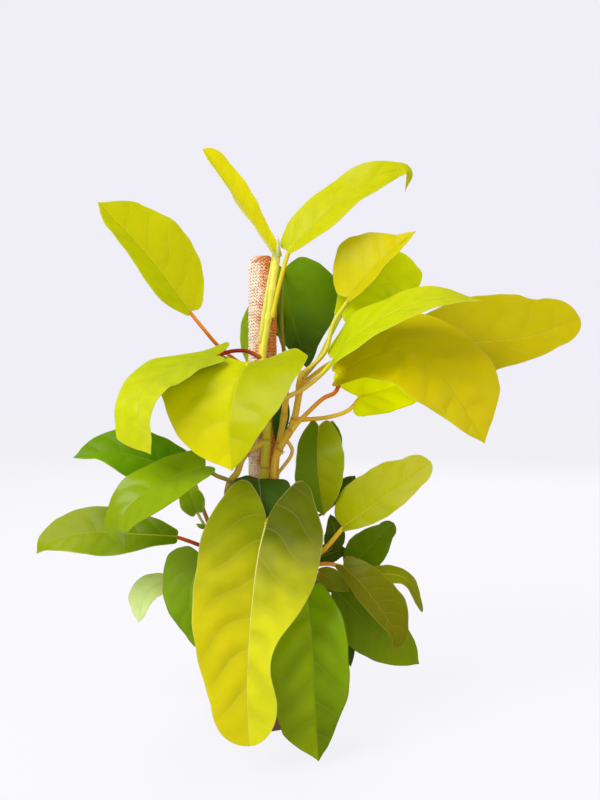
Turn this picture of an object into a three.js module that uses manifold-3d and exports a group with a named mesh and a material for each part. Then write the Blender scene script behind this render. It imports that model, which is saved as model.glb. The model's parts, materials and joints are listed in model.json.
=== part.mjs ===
// A golden-leaved climbing philodendron on a coir pole, in its nursery pot.
// Millimetres, +Z up, origin at the middle of the pot's base, front of the plant towards -Y.

import * as THREE from 'three';
import * as BufferGeometryUtils from 'three/addons/utils/BufferGeometryUtils.js';
import Module from 'manifold-3d';

const wasm = await Module();
wasm.setup();

// Driving dimensions of the pot and what it holds.
const POT_HEIGHT = 102;
const POT_RIM_RADIUS = 56;
const POT_BASE_RADIUS = 42;
const POT_WALL = 1.6;
const RIM_BAND_HEIGHT = 13;
const RIM_BAND_STEP = 2;
const DRAIN_HOLES = 6;
const DRAIN_HOLE_RADIUS = 4;
const DRAIN_RING_RADIUS = 28;
const SOIL_TOP = 88;
const SOIL_RELIEF = 1.6;
const FIT_GAP = 0.4;

// Driving dimensions of the pole.
const POLE_RADIUS = 12.5;
const POLE_TOP = 409;
const STAKE_RADIUS = 6;
const WRAP_BOTTOM = 40;
const STAKE_BOTTOM = 14;
const WRAP_CAP = 7;
const WRAP_RELIEF = 0.5;

// Stems stand this deep in plain holes in the soil.
const STEM_FOOT = 60;
const STEM_HOLE_GAP = 0.5;

const BLADE_THICKNESS = 0.7;
const BLADE_GAP = 0.3;

const FINISHES = {
  gold: { color: '#c9c400', roughness: 0.42 },
  lime: { color: '#b4cf0c', roughness: 0.42 },
  olive: { color: '#a8a800', roughness: 0.45 },
  green: { color: '#6f9c0a', roughness: 0.38 },
  dark: { color: '#36560a', roughness: 0.42 },
  pale: { color: '#a5c455', roughness: 0.5 },
  bronze: { color: '#6e6a10', roughness: 0.42 },
  stem: { color: '#b8a528', roughness: 0.5 },
  coir: { color: '#c08a5c', roughness: 0.95 },
  wood: { color: '#b08a58', roughness: 0.8 },
  soil: { color: '#3a2a1e', roughness: 1.0 },
  pot: { color: '#4e2a20', roughness: 0.55 },
};

// Each blade: midrib from where the petiole joins to the tip, direction of its upper face from
// base to tip, then its outline and cross-section. sides are half widths at EDGE_STATIONS, first
// for the side to the left of a hanging blade, then for the other. half stands for both sides of
// a blade of the usual outline. lobe is how far the base reaches back past the petiole, sweep is
// how late that sets in towards the edge, and fold is degrees that each side rises from flat. wave
// is height, count and phase of the edge's waves.
const LEAVES = [
  {
    name: 'leaf_crown_left', finish: 'gold', vine: 'centre', lobe: 3, blunt: true,
    rib: [[13, -19, 406], [-13, -24, 443], [-49, -34, 494]],
    face: [[0.7, -0.5, 0.49]], fold: [25, 18],
    sides: [[5, 10, 15, 18, 17], [9, 17, 15, 15, 13]],
  },
  {
    name: 'leaf_crown_right', finish: 'lime', vine: 'centre', lobe: 2,
    rib: [[23, -22, 410], [60, -26, 446], [96, -26, 471], [126, -24, 479], [125, -24, 461]],
    face: [[-0.5, -0.75, 0.43], [-0.3, -0.75, 0.6], [0.8, -0.6, 0.1]], fold: [6, 6],
    sides: [[7, 17, 22, 17.5, 6], [13, 23, 24.5, 21, 7.5]],
  },
  {
    name: 'leaf_upper_left', finish: 'lime', vine: 'centre', lobe: 4,
    rib: [[-59, -45, 355], [-91, -50, 398], [-133, -55, 443]],
    face: [[0.3, -0.9, 0.25]], fold: [6, 35],
    sides: [[11, 26.5, 36.5, 35.5, 25.5], [6, 23.5, 24.5, 19, 15.5]],
  },
  {
    name: 'leaf_behind_pole', finish: 'dark', vine: 'back', lobe: [9, 11],
    rib: [[19, 24, 401], [25, 34, 363], [41, 26, 309]],
    face: [[0.05, -0.98, 0.1]], fold: [-50, 4],
    sides: [[15, 28, 30, 20, 9], [25, 45, 50, 36, 15]],
  },
  {
    name: 'leaf_behind_pole_left', finish: 'green', vine: 'back', lobe: 4,
    rib: [[2, 34, 375], [-8, 42, 345], [-8, 42, 300]],
    face: [[-0.2, -0.97, 0.1]], fold: [6, 6],
    sides: [[7, 13.5, 16, 14, 9], [9.5, 16, 19, 15.5, 9]],
  },
  {
    name: 'leaf_upper_right', finish: 'gold', vine: 'right', lobe: 6,
    rib: [[77, -20, 370], [101, -28, 397], [133, -30, 425]],
    face: [[-0.5, -0.71, 0.5]], fold: [28, 28],
    sides: [[10, 22, 24, 20, 10], [15, 29, 38.5, 29, 9]],
  },
  {
    name: 'leaf_upper_right_rear', finish: 'lime', vine: 'right', lobe: 6, blunt: true,
    rib: [[71, -6, 358], [94, 2, 380], [117, 8, 386], [136, 12, 372]],
    face: [[-0.1, -0.9, 0.3]], fold: [6, 6],
    sides: [[14, 24, 30, 28, 18], [4, 14, 29, 34.5, 26.5]],
  },
  {
    name: 'leaf_long_right', finish: 'lime', vine: 'centre', lobe: [12, 14],
    rib: [[62, -50, 315], [77, -64, 331], [107, -80, 349], [142, -86, 360], [178, -80, 358]],
    face: [[-0.2, -0.52, 0.83], [0, -0.45, 0.9]], fold: [4, 4],
    sides: [[18, 30, 32, 27, 13], [38, 43, 33.5, 27, 17]],
  },
  {
    name: 'leaf_far_right', finish: 'olive', vine: 'right', lobe: 6, blunt: true,
    rib: [[134, -18, 324], [188, -22, 330], [233, -26, 335], [274, -30, 350]],
    face: [[-0.1, -0.95, 0.25]], fold: [8, 8],
    sides: [[18, 29, 31, 23, 17], [20, 33, 40, 40.5, 28.5]],
  },
  {
    name: 'leaf_drooping_right', finish: 'olive', vine: 'right', lobe: 10,
    rib: [[69, -34, 303], [94, -46, 317], [125, -58, 319], [151, -66, 296], [168, -68, 270],
      [183, -66, 245]],
    face: [[-0.3, -0.6, 0.7], [0, -0.75, 0.65], [0.3, -0.9, 0.3]], fold: [4, 4],
    sides: [[14, 24, 39.5, 36.5, 18], [16, 28, 44, 47, 38.5]],
  },
  {
    name: 'leaf_under_right', finish: 'lime', vine: 'right', lobe: 18,
    rib: [[86, -28, 283], [108, -14, 289], [150, 2, 302]],
    face: [[-0.15, -0.9, 0.35]], fold: [4, 4],
    sides: [[19, 22, 22, 22, 14], [27, 31, 27, 22, 14]],
  },
  {
    name: 'leaf_heart_centre', finish: 'gold', vine: 'centre', lobe: [4, 17], sweep: 3,
    rib: [[-9, -46, 311], [-16, -61, 298], [-22, -76, 264], [-20, -80, 224]],
    face: [[-0.1, -0.7, 0.8], [0, -0.97, 0.1]], fold: [3, 18],
    sides: [[34, 50, 62, 48.5, 30], [48, 55, 45, 33, 17]],
  },
  {
    name: 'leaf_arching_left', finish: 'lime', vine: 'centre', lobe: [19, 4],
    rib: [[-36, -48, 317], [-62, -62, 309], [-88, -80, 291], [-92, -90, 267], [-81, -94, 238]],
    face: [[-0.1, -0.6, 0.8], [-0.55, -0.7, 0.45], [-0.5, -0.85, -0.1]], fold: [6, 6],
    sides: [[15, 10, 24, 23, 24], [12, 18, 28, 30, 12]],
  },
  {
    name: 'leaf_mid_left_rear', finish: 'green', vine: 'centre', lobe: 6,
    rib: [[-64, 2, 211], [-100, -6, 226], [-134, -10, 234], [-166, -14, 229]],
    face: [[-0.1, -0.75, 0.65]], fold: [6, 6],
    sides: [[14, 22, 27, 26, 18], [14, 20, 25, 21, 7]],
  },
  {
    name: 'leaf_glossy_left', finish: 'green', vine: 'centre', lobe: 6,
    rib: [[-45, -52, 225], [-76, -70, 214], [-98, -82, 199], [-109, -86, 180], [-103, -84, 165]],
    face: [[-0.2, -0.7, 0.7], [-0.7, -0.7, 0.1]], fold: [10, 10],
    sides: [[18, 22, 23, 22, 16], [10, 20, 28, 31, 20]],
  },
  {
    name: 'leaf_low_left', finish: 'olive', vine: 'centre', lobe: 1,
    rib: [[-72, -30, 163], [-103, -32, 165], [-145, -34, 167], [-179, -34, 159], [-191, -34, 149]],
    face: [[0, -0.8, 0.6]], fold: [4, 4],
    sides: [[5, 15, 21.5, 24, 20], [6.5, 11, 20, 21, 11]],
  },
  {
    name: 'leaf_small_left', finish: 'green', vine: 'centre', lobe: 3, half: 11, small: true,
    rib: [[-56, -22, 183], [-62, -18, 195], [-66, -14, 209]],
    face: [[0.1, -0.98, 0.1]], fold: [6, 6],
  },
  {
    name: 'leaf_hanging_left', finish: 'green', vine: 'centre', lobe: 6,
    rib: [[-50, -42, 149], [-58, -52, 117], [-50, -54, 73]],
    face: [[-0.1, -0.9, 0.4], [-0.1, -0.97, 0.1]], fold: [6, 6],
    sides: [[17, 26.5, 23, 16, 7.5], [12, 20, 20, 15, 8]],
  },
  {
    name: 'leaf_pale_left', finish: 'pale', vine: 'centre', lobe: 2, small: true,
    rib: [[-84, -14, 121], [-101, -16, 110], [-108, -16, 85]],
    face: [[-0.2, -0.9, 0.4]], fold: [6, 6],
    sides: [[6, 10.5, 14, 14, 9], [7, 10, 10, 8, 5]],
  },
  {
    name: 'leaf_large_front', finish: 'gold', vine: 'centre', lobe: [33, 42], blunt: true,
    rib: [[7, -76, 184], [1, -96, 157], [-3, -112, 116], [-5, -120, 67], [-3, -124, 28]],
    face: [[0, -0.75, 0.65], [0, -0.98, 0.15]], fold: [8, 8], wave: [2.5, 2, 0.4],
    sides: [[30.5, 45, 44.5, 39, 26], [27, 47, 43, 18, 22]],
  },
  {
    name: 'leaf_behind_large', finish: 'dark', vine: 'centre', lobe: [6, 0], half: 26,
    rib: [[-1, -39, 213], [0, -47, 209], [2, -54, 193], [3, -57, 168]],
    face: [[0, -0.3, 0.95], [0, -1, 0.1]], fold: [3, 3],
  },
  {
    name: 'leaf_green_front', finish: 'green', vine: 'low', lobe: 7,
    rib: [[40, -62, 124], [43, -82, 91], [45, -94, 48], [48, -100, 5]],
    face: [[0, -0.93, 0.35], [0.05, -1, 0]], fold: [8, 8],
    sides: [[8, 18, 32, 34.5, 26], [12, 23.5, 28, 26.5, 14.5]],
  },
  {
    name: 'leaf_centre_right', finish: 'green', vine: 'low', lobe: 6,
    rib: [[50, -24, 257], [49, -36, 225], [54, -32, 181]],
    face: [[-0.1, -0.99, 0.1]], fold: [8, 8],
    sides: [[6, 15, 18, 20, 13], [9.5, 18.5, 22.5, 20.5, 13]],
  },
  {
    name: 'leaf_centre_right_rear', finish: 'green', vine: 'low', lobe: 3, half: 10, small: true,
    rib: [[59, -4, 258], [62, 0, 238], [60, 4, 210]],
    face: [[0.2, -0.95, 0.1]], fold: [6, 6],
  },
  {
    name: 'leaf_olive_right', finish: 'olive', vine: 'low', lobe: 2, blunt: true,
    rib: [[70, -40, 173], [104, -52, 200], [141, -58, 229]],
    face: [[-0.3, -0.85, 0.4]], fold: [6, 6],
    sides: [[4, 10, 15, 15.5, 11.5], [16, 24.5, 27, 25, 16.5]],
  },
  {
    name: 'leaf_dark_right_rear', finish: 'dark', vine: 'low', lobe: 3, half: 12, small: true,
    rib: [[66, 2, 187], [76, 6, 200], [84, 8, 211]],
    face: [[0, -1, 0.1]], fold: [6, 6],
  },
  {
    name: 'leaf_round_right', finish: 'dark', vine: 'low', lobe: 4, half: 17, small: true, blunt: true,
    rib: [[80, -8, 133], [100, -14, 155], [116, -16, 172]],
    face: [[-0.1, -0.97, 0.2]], fold: [6, 6],
  },
  {
    name: 'leaf_bronze_right', finish: 'bronze', vine: 'low', lobe: 5,
    rib: [[70, -50, 142], [89, -62, 124], [110, -68, 93], [109, -66, 78]],
    face: [[0.1, -0.9, 0.4]], fold: [8, 8],
    sides: [[6, 8, 11, 9, 5], [9, 15, 19, 21, 12]],
  },
  {
    name: 'leaf_curled_right', finish: 'green', vine: 'low', lobe: 3, half: 9, small: true, blunt: true,
    rib: [[91, -24, 129], [117, -28, 129], [129, -28, 121], [139.5, -26, 97]],
    face: [[0.2, -0.6, 0.75], [0.6, -0.6, 0.4]], fold: [6, 6],
  },
  {
    name: 'leaf_low_right', finish: 'dark', vine: 'low', lobe: 3,
    rib: [[66, -12, 111], [100, -20, 78], [138, -18, 49]],
    face: [[-0.1, -0.95, 0.2]], fold: [6, 6],
    sides: [[4, 16, 24, 21, 13], [13, 22, 27, 23.5, 15]],
  },
  {
    name: 'leaf_low_strip', finish: 'dark', vine: 'low', lobe: 2, half: 11, small: true,
    rib: [[66, 8, 92], [74, 10, 66], [80, 8, 37]],
    face: [[0, -1, 0]], fold: [6, 6],
  },
  {
    name: 'leaf_dark_small', finish: 'dark', vine: 'low', lobe: 2, half: 9, small: true,
    rib: [[61, -24, 151], [64, -26, 165], [60, -24, 181]],
    face: [[0, -1, 0]], fold: [6, 6],
  },
  {
    name: 'leaf_dark_low', finish: 'dark', vine: 'low', lobe: 2, half: 9, small: true,
    rib: [[48, -4, 138], [64, 0, 143], [78, 4, 143]],
    face: [[0, -0.95, 0.3]], fold: [6, 6],
  },
  {
    name: 'leaf_bronze_small', finish: 'bronze', vine: 'low', lobe: 2, half: 9, small: true,
    rib: [[50, -30, 131], [62, -33, 126], [76, -34, 117]],
    face: [[0, -0.9, 0.4]], fold: [6, 6],
  },
  {
    name: 'leaf_inner', finish: 'dark', vine: 'back', lobe: 2, half: 7, small: true,
    rib: [[19, -13, 279], [17, -14, 262], [14, -14.5, 238]],
    face: [[0, -1, 0.05]], fold: [3, 3],
  },
];

// Each vine: its stem from the soil up, then a petiole for each blade it carries. The petiole's
// last point is the start of that blade's midrib.
const VINES = {
  centre: {
    stems: [
      { radius: 4, path: [[2, -26, STEM_FOOT], [2, -26, 110], [3, -23, 215], [5, -21.5, 255],
        [1, -19.5, 300], [1, -19, 322], [8, -19, 370], [13, -19, 404]] },
      { radius: 3.2, path: [[-22, -27, STEM_FOOT], [-22, -27, 110], [-24, -28, 160], [-28, -30, 203],
        [-20, -31, 218], [-13, -29, 234], [5, -22, 244]] },
    ],
    petioles: {
      leaf_crown_right: { radius: 2, path: [[9, -19, 352], [17, -21, 385]] },
      leaf_upper_left: {
        radius: 1.7, path: [[1, -20, 303], [-18, -20, 312], [-36, -27, 326], [-47, -38, 339]],
      },
      leaf_arching_left: { radius: 1.8, path: [[1, -20, 316], [-12, -28, 322], [-26, -38, 321]] },
      leaf_heart_centre: { radius: 2, path: [[4, -21, 272], [2, -34, 290]] },
      leaf_long_right: { radius: 2.1, path: [[5, -21, 262], [18, -40, 279], [36, -44, 289], [50, -46, 300]] },
      leaf_behind_large: { radius: 1.8, path: [[3, -23, 196], [0, -30, 205]] },
      leaf_large_front: { radius: 2.4, path: [[2, -25, 148], [4, -44, 156], [7, -64, 172]] },
      leaf_mid_left_rear: {
        radius: 1.9, path: [[-24, -28, 158], [-40, -22, 163], [-50, -14, 180], [-60, -3, 204]],
      },
      leaf_glossy_left: { radius: 1.9, path: [[-27, -30, 202], [-25, -40, 211], [-36, -48, 217]] },
      leaf_low_left: { radius: 1.8, path: [[-22, -27, 138], [-40, -29, 149], [-54, -30, 156]] },
      leaf_small_left: { radius: 1.3, path: [[-24, -28, 150], [-38, -24, 160], [-49, -22, 171]] },
      leaf_hanging_left: { radius: 1.8, path: [[-22, -27, 126], [-38, -34, 144]] },
      leaf_pale_left: { radius: 1.4, path: [[-22, -27, 116], [-50, -18, 128], [-72, -14, 131]] },
    },
  },
  right: {
    stems: [
      { radius: 3.3, path: [[19, -31, STEM_FOOT], [19, -31, 110], [15, -31, 180], [12, -33, 226],
        [28, -35, 261], [36, -35, 305]] },
      { radius: 1.7, path: [[21, -34, 248], [27, -34, 235], [14, -33, 216]] },
    ],
    petioles: {
      leaf_upper_right: { radius: 2, path: [[35, -35, 301], [55, -30, 321], [63, -24, 347]] },
      leaf_upper_right_rear: { radius: 1.9, path: [[34, -35, 296], [50, -22, 316], [62, -11, 340]] },
      leaf_far_right: { radius: 2, path: [[34, -35, 292], [58, -12, 311], [90, 2, 325], [122, -10, 326]] },
      leaf_drooping_right: {
        radius: 2, path: [[26, -35, 254], [37, -36, 266], [53, -36, 281], [64, -35, 287]],
      },
      leaf_under_right: { radius: 1.9, path: [[29, -35, 263], [56, -33, 265], [75, -30, 271]] },
    },
  },
  back: {
    stems: [
      { radius: 3.2, path: [[23, -14, STEM_FOOT], [23, -14, 110], [16, -17, 170], [12.5, -20, 220],
        [20, -20, 268], [21, -16, 290]] },
    ],
    petioles: {
      leaf_behind_pole: { radius: 2, path: [[21, -16, 286], [21, 4, 308], [17, 17, 345], [17, 19, 385]] },
      leaf_behind_pole_left: { radius: 1.6, path: [[18, 13, 332], [11, 23, 350], [5, 29, 366]] },
      leaf_inner: { radius: 1, path: [[20, -18, 283]] },
    },
  },
  low: {
    stems: [
      { radius: 3, path: [[35, -18, STEM_FOOT], [35, -18, 110], [38, -20, 150], [40, -19, 190],
        [44, -18, 232]] },
    ],
    petioles: {
      leaf_green_front: { radius: 2.1, path: [[35, -18, 107], [36, -40, 118]] },
      leaf_centre_right: { radius: 1.7, path: [[43, -18, 228], [46, -17, 250]] },
      leaf_centre_right_rear: { radius: 1.3, path: [[43, -18, 224], [53, -10, 250]] },
      leaf_olive_right: { radius: 2.1, path: [[37, -20, 136], [46, -27, 144], [56, -34, 154]] },
      leaf_dark_right_rear: { radius: 1.2, path: [[40, -19, 178], [52, -8, 178]] },
      leaf_round_right: { radius: 1.4, path: [[35, -18, 118], [58, -10, 122]] },
      leaf_bronze_right: { radius: 1.8, path: [[36, -19, 124], [42, -34, 137], [55, -46, 143]] },
      leaf_curled_right: { radius: 1.3, path: [[35, -18, 112], [66, -22, 122]] },
      leaf_low_right: { radius: 1.8, path: [[35, -18, 104], [50, -14, 112]] },
      leaf_low_strip: { radius: 1.2, path: [[35, -18, 108], [52, -2, 112]] },
      leaf_dark_small: { radius: 1.1, path: [[38, -20, 148], [50, -23, 146]] },
      leaf_dark_low: { radius: 1.1, path: [[37, -20, 132]] },
      leaf_bronze_small: { radius: 1.1, path: [[36, -19, 128]] },
    },
  },
};

const group = new THREE.Group();

function finish(name) {
  return new THREE.MeshStandardMaterial({ ...FINISHES[name], metalness: 0 });
}

function addMesh(name, geometry, finishName) {
  geometry.computeVertexNormals();
  const mesh = new THREE.Mesh(geometry, finish(finishName));
  mesh.name = name;
  group.add(mesh);
}

function toSolid(geometry) {
  const bare = geometry.clone();
  bare.deleteAttribute('normal');
  bare.deleteAttribute('uv');
  const merged = BufferGeometryUtils.mergeVertices(bare, 1e-4);
  return new wasm.Manifold(new wasm.Mesh({
    numProp: 3,
    vertProperties: new Float32Array(merged.attributes.position.array),
    triVerts: new Uint32Array(merged.index.array),
  }));
}

function fromSolid(solid) {
  const mesh = solid.getMesh();
  const geometry = new THREE.BufferGeometry();
  geometry.setAttribute('position', new THREE.BufferAttribute(new Float32Array(mesh.vertProperties), 3));
  geometry.setIndex(new THREE.BufferAttribute(new Uint32Array(mesh.triVerts), 1));
  return geometry;
}

function largestPiece(solid) {
  const pieces = solid.decompose();
  pieces.sort((a, b) => b.volume() - a.volume());
  return pieces[0];
}

function curveThrough(points) {
  return new THREE.CatmullRomCurve3(points.map((p) => new THREE.Vector3(...p)), false, 'catmullrom', 0.5);
}

// Stations along a blade: close together at the lobes and the tip, where its outline turns most.
const BLADE_ROWS = [0, 0.05, 0.13, 0.25, 0.4, 0.56, 0.72, 0.86, 0.95];
const BLADE_COLUMNS = [-1, -0.8, -0.42, 0, 0.42, 0.8, 1];
const SMALL_ROWS = [0, 0.07, 0.2, 0.4, 0.62, 0.82, 0.95];
const SMALL_COLUMNS = [-1, -0.55, 0, 0.55, 1];

const EDGE_STATIONS = [0, 0.15, 0.35, 0.6, 0.82];
const USUAL_SHARES = [0.5, 0.86, 1, 0.82, 0.48];
const LOBE_END = 0.36;
const LOBE_POWER = 0.75;
const TIP_SWELL = 0.3;
const USUAL_WAVE = [0.8, 2, 0];
const WAVE_FADE = 4;

// Half width of one side at u: a smooth line through its stations, then the pointed or blunt tip.
function sideWidth(leaf, u, side) {
  const usual = USUAL_SHARES.map((share) => share * leaf.half);
  const widths = leaf.sides ? leaf.sides[side > 0 ? 0 : 1] : usual;
  const last = EDGE_STATIONS.length - 1;
  if (u >= EDGE_STATIONS[last]) {
    const x = (u - EDGE_STATIONS[last]) / (1 - EDGE_STATIONS[last]);
    return widths[last] * (leaf.blunt ? Math.sqrt(Math.max(0, 1 - x * x)) : (1 - x) * (1 + TIP_SWELL * x));
  }
  let k = 0;
  while (u >= EDGE_STATIONS[k + 1]) {
    k += 1;
  }
  const slope = (i) => {
    const low = Math.max(0, i - 1);
    const high = Math.min(last, i + 1);
    return (widths[high] - widths[low]) / (EDGE_STATIONS[high] - EDGE_STATIONS[low]);
  };
  const span = EDGE_STATIONS[k + 1] - EDGE_STATIONS[k];
  const x = (u - EDGE_STATIONS[k]) / span;
  const rise = widths[k + 1] - widths[k];
  const from = slope(k) * span - rise;
  const to = rise - slope(k + 1) * span;
  return widths[k] + rise * x + x * (1 - x) * (from * (1 - x) + to * x);
}

// Direction of the upper face at u, between the directions given from base to tip.
function faceDirection(leaf, u) {
  const spans = leaf.face.length - 1;
  if (spans === 0) {
    return new THREE.Vector3(...leaf.face[0]).normalize();
  }
  const place = Math.min(u * spans, spans - 1e-6);
  const k = Math.floor(place);
  const from = new THREE.Vector3(...leaf.face[k]).normalize();
  const to = new THREE.Vector3(...leaf.face[k + 1]).normalize();
  return from.lerp(to, place - k).normalize();
}

// One point of the blade's middle surface. u runs from base to tip, v from one edge to the other.
// margin makes the blade that much larger past its outline.
function bladePoint(leaf, curve, u, v, margin) {
  const tangent = curve.getTangentAt(u);
  const face = faceDirection(leaf, u);
  const up = face.sub(tangent.clone().multiplyScalar(face.dot(tangent))).normalize();
  const across = tangent.clone().cross(up);
  const side = v < 0 ? -1 : 1;
  const reach = Math.abs(v);
  const out = (sideWidth(leaf, u, side) + margin) * reach;
  const bend = THREE.MathUtils.degToRad(side > 0 ? leaf.fold[0] : leaf.fold[1]);
  const [waveHeight, waveCount, wavePhase] = leaf.wave ?? USUAL_WAVE;
  const swing = Math.sin(2 * Math.PI * waveCount * u + wavePhase + side) * reach * reach;
  const wave = waveHeight * swing * Math.min(1, WAVE_FADE * (1 - u));
  const sweep = Math.pow(Math.sin((Math.PI / 2) * reach), leaf.sweep ?? LOBE_POWER);
  const lobe = Array.isArray(leaf.lobe) ? leaf.lobe[side > 0 ? 0 : 1] : leaf.lobe;
  const back = lobe * Math.pow(Math.max(0, 1 - u / LOBE_END), 2) * sweep + (u === 0 ? margin : 0);
  return curve.getPointAt(u)
    .addScaledVector(across, side * out * Math.cos(bend))
    .addScaledVector(up, out * Math.sin(bend) + wave)
    .addScaledVector(tangent, -back);
}

// Upper-face direction of each grid point, from its neighbours in the grid.
function gridNormal(grid, i, j) {
  const rows = grid.length - 1;
  const columns = grid[0].length - 1;
  const along = grid[Math.min(i + 1, rows)][j].clone().sub(grid[Math.max(i - 1, 0)][j]);
  const over = grid[i][Math.min(j + 1, columns)].clone().sub(grid[i][Math.max(j - 1, 0)]);
  return over.cross(along).normalize();
}

// A closed thin blade: both faces carry the same triangles, joined by a rim.
function bladeGeometry(leaf, thickness, margin = 0) {
  const rows = leaf.small ? SMALL_ROWS : BLADE_ROWS;
  const columns = leaf.small ? SMALL_COLUMNS : BLADE_COLUMNS;
  const curve = curveThrough(leaf.rib);
  const grid = rows.map((u) => columns.map((v) => bladePoint(leaf, curve, u, v, margin)));
  const tip = curve.getPointAt(1);
  const positions = [];
  const upper = [];
  const lower = [];
  const place = (point, normal) => {
    const high = point.clone().addScaledVector(normal, thickness / 2);
    const low = point.clone().addScaledVector(normal, -thickness / 2);
    positions.push(high.x, high.y, high.z, low.x, low.y, low.z);
    return positions.length / 3 - 2;
  };
  grid.forEach((row, i) => {
    const first = row.map((point, j) => place(point, gridNormal(grid, i, j)));
    upper.push(first);
    lower.push(first.map((k) => k + 1));
  });
  const middle = Math.floor(columns.length / 2);
  const tipUpper = place(tip, gridNormal(grid, rows.length - 1, middle));
  const tipLower = tipUpper + 1;
  const faces = [];
  const last = rows.length - 1;
  for (let i = 0; i < last; i += 1) {
    for (let j = 0; j < columns.length - 1; j += 1) {
      faces.push(upper[i][j], upper[i][j + 1], upper[i + 1][j + 1]);
      faces.push(upper[i][j], upper[i + 1][j + 1], upper[i + 1][j]);
      faces.push(lower[i][j], lower[i + 1][j + 1], lower[i][j + 1]);
      faces.push(lower[i][j], lower[i + 1][j], lower[i + 1][j + 1]);
    }
  }
  for (let j = 0; j < columns.length - 1; j += 1) {
    faces.push(upper[last][j], upper[last][j + 1], tipUpper);
    faces.push(lower[last][j], tipLower, lower[last][j + 1]);
  }
  const edge = columns.length - 1;
  const rim = upper[0].slice(0, edge);
  upper.forEach((row) => rim.push(row[edge]));
  rim.push(tipUpper);
  upper.slice(1).reverse().forEach((row) => rim.push(row[0]));
  rim.forEach((from, k) => {
    const to = rim[(k + 1) % rim.length];
    faces.push(to, from, from + 1);
    faces.push(to, from + 1, to + 1);
  });
  const geometry = new THREE.BufferGeometry();
  geometry.setAttribute('position', new THREE.Float32BufferAttribute(positions, 3));
  geometry.setIndex(faces);
  return geometry;
}

function addLeaves() {
  LEAVES.forEach((leaf) => addMesh(leaf.name, bladeGeometry(leaf, BLADE_THICKNESS), leaf.finish));
}

const STEM_SIDES = 8;
const PETIOLE_SIDES = 6;
const STEP_LENGTH = 22;

// A round tube along a curve through the points, closed at both ends.
function tube(points, radius, sides) {
  const curve = curveThrough(points);
  const outline = [];
  for (let k = 0; k < sides; k += 1) {
    const angle = (2 * Math.PI * k) / sides;
    outline.push(new THREE.Vector2(radius * Math.cos(angle), radius * Math.sin(angle)));
  }
  const steps = Math.max(2, Math.round(curve.getLength() / STEP_LENGTH));
  return toSolid(new THREE.ExtrudeGeometry(new THREE.Shape(outline), {
    steps, bevelEnabled: false, extrudePath: curve,
  }));
}

function addVine(name, vine) {
  let solid = null;
  const join = (piece) => {
    solid = solid ? solid.add(piece) : piece;
  };
  vine.stems.forEach((stem) => join(tube(stem.path, stem.radius, STEM_SIDES)));
  Object.entries(vine.petioles).forEach(([leafName, petiole]) => {
    const leaf = LEAVES.find((item) => item.name === leafName);
    join(tube([...petiole.path, leaf.rib[0]], petiole.radius, PETIOLE_SIDES));
  });
  LEAVES.filter((leaf) => leaf.vine === name).forEach((leaf) => {
    solid = solid.subtract(toSolid(bladeGeometry(leaf, BLADE_THICKNESS + 2 * BLADE_GAP, BLADE_GAP)));
  });
  addMesh(`vine_${name}`, fromSolid(largestPiece(solid)), 'stem');
}

function lathe(profile, segments) {
  const geometry = new THREE.LatheGeometry(profile.map(([r, z]) => new THREE.Vector2(r, z)), segments);
  geometry.rotateX(Math.PI / 2);
  return geometry;
}

function cylinder(radius, bottom, top, x, y, sides) {
  const geometry = new THREE.CylinderGeometry(radius, radius, top - bottom, sides);
  geometry.rotateX(Math.PI / 2);
  geometry.translate(x, y, (top + bottom) / 2);
  return toSolid(geometry);
}

const POT_SIDES = 28;
const DRAIN_HOLE_SIDES = 12;
const BAND_BOTTOM = POT_HEIGHT - RIM_BAND_HEIGHT;
const WALL_TOP_RADIUS = POT_RIM_RADIUS - RIM_BAND_STEP;

// Inside radius of the pot's wall at a height below the rim band.
function potInside(z) {
  const slope = (WALL_TOP_RADIUS - POT_BASE_RADIUS) / BAND_BOTTOM;
  return POT_BASE_RADIUS + slope * z - POT_WALL;
}

function addPot() {
  const profile = [
    [0, 0],
    [POT_BASE_RADIUS, 0],
    [WALL_TOP_RADIUS, BAND_BOTTOM],
    [POT_RIM_RADIUS, BAND_BOTTOM],
    [POT_RIM_RADIUS, POT_HEIGHT],
    [POT_RIM_RADIUS - POT_WALL, POT_HEIGHT],
    [potInside(BAND_BOTTOM), BAND_BOTTOM],
    [potInside(POT_WALL), POT_WALL],
    [0, POT_WALL],
  ];
  let pot = toSolid(lathe(profile, POT_SIDES));
  for (let k = 0; k < DRAIN_HOLES; k += 1) {
    const angle = (2 * Math.PI * k) / DRAIN_HOLES;
    const x = DRAIN_RING_RADIUS * Math.cos(angle);
    const y = DRAIN_RING_RADIUS * Math.sin(angle);
    pot = pot.subtract(cylinder(DRAIN_HOLE_RADIUS, -POT_WALL, 2 * POT_WALL, x, y, DRAIN_HOLE_SIDES));
  }
  addMesh('pot', fromSolid(pot), 'pot');
}

const SOIL_RINGS = [48, 30];
const SOIL_HEAPS = [0.23, 0.19];
const SOIL_CRUMBS = { height: 0.5, x: 0.51, y: 0.43 };
const POLE_HOLE_SIDES = 20;
const STEM_HOLE_SIDES = 12;

// The top of the soil is uneven, by a formula that leaves its edge level.
function soilHeight(x, y) {
  const heaps = SOIL_RELIEF * Math.sin(x * SOIL_HEAPS[0] + 1) * Math.cos(y * SOIL_HEAPS[1]);
  return heaps + SOIL_CRUMBS.height * Math.sin(x * SOIL_CRUMBS.x - y * SOIL_CRUMBS.y);
}

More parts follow.
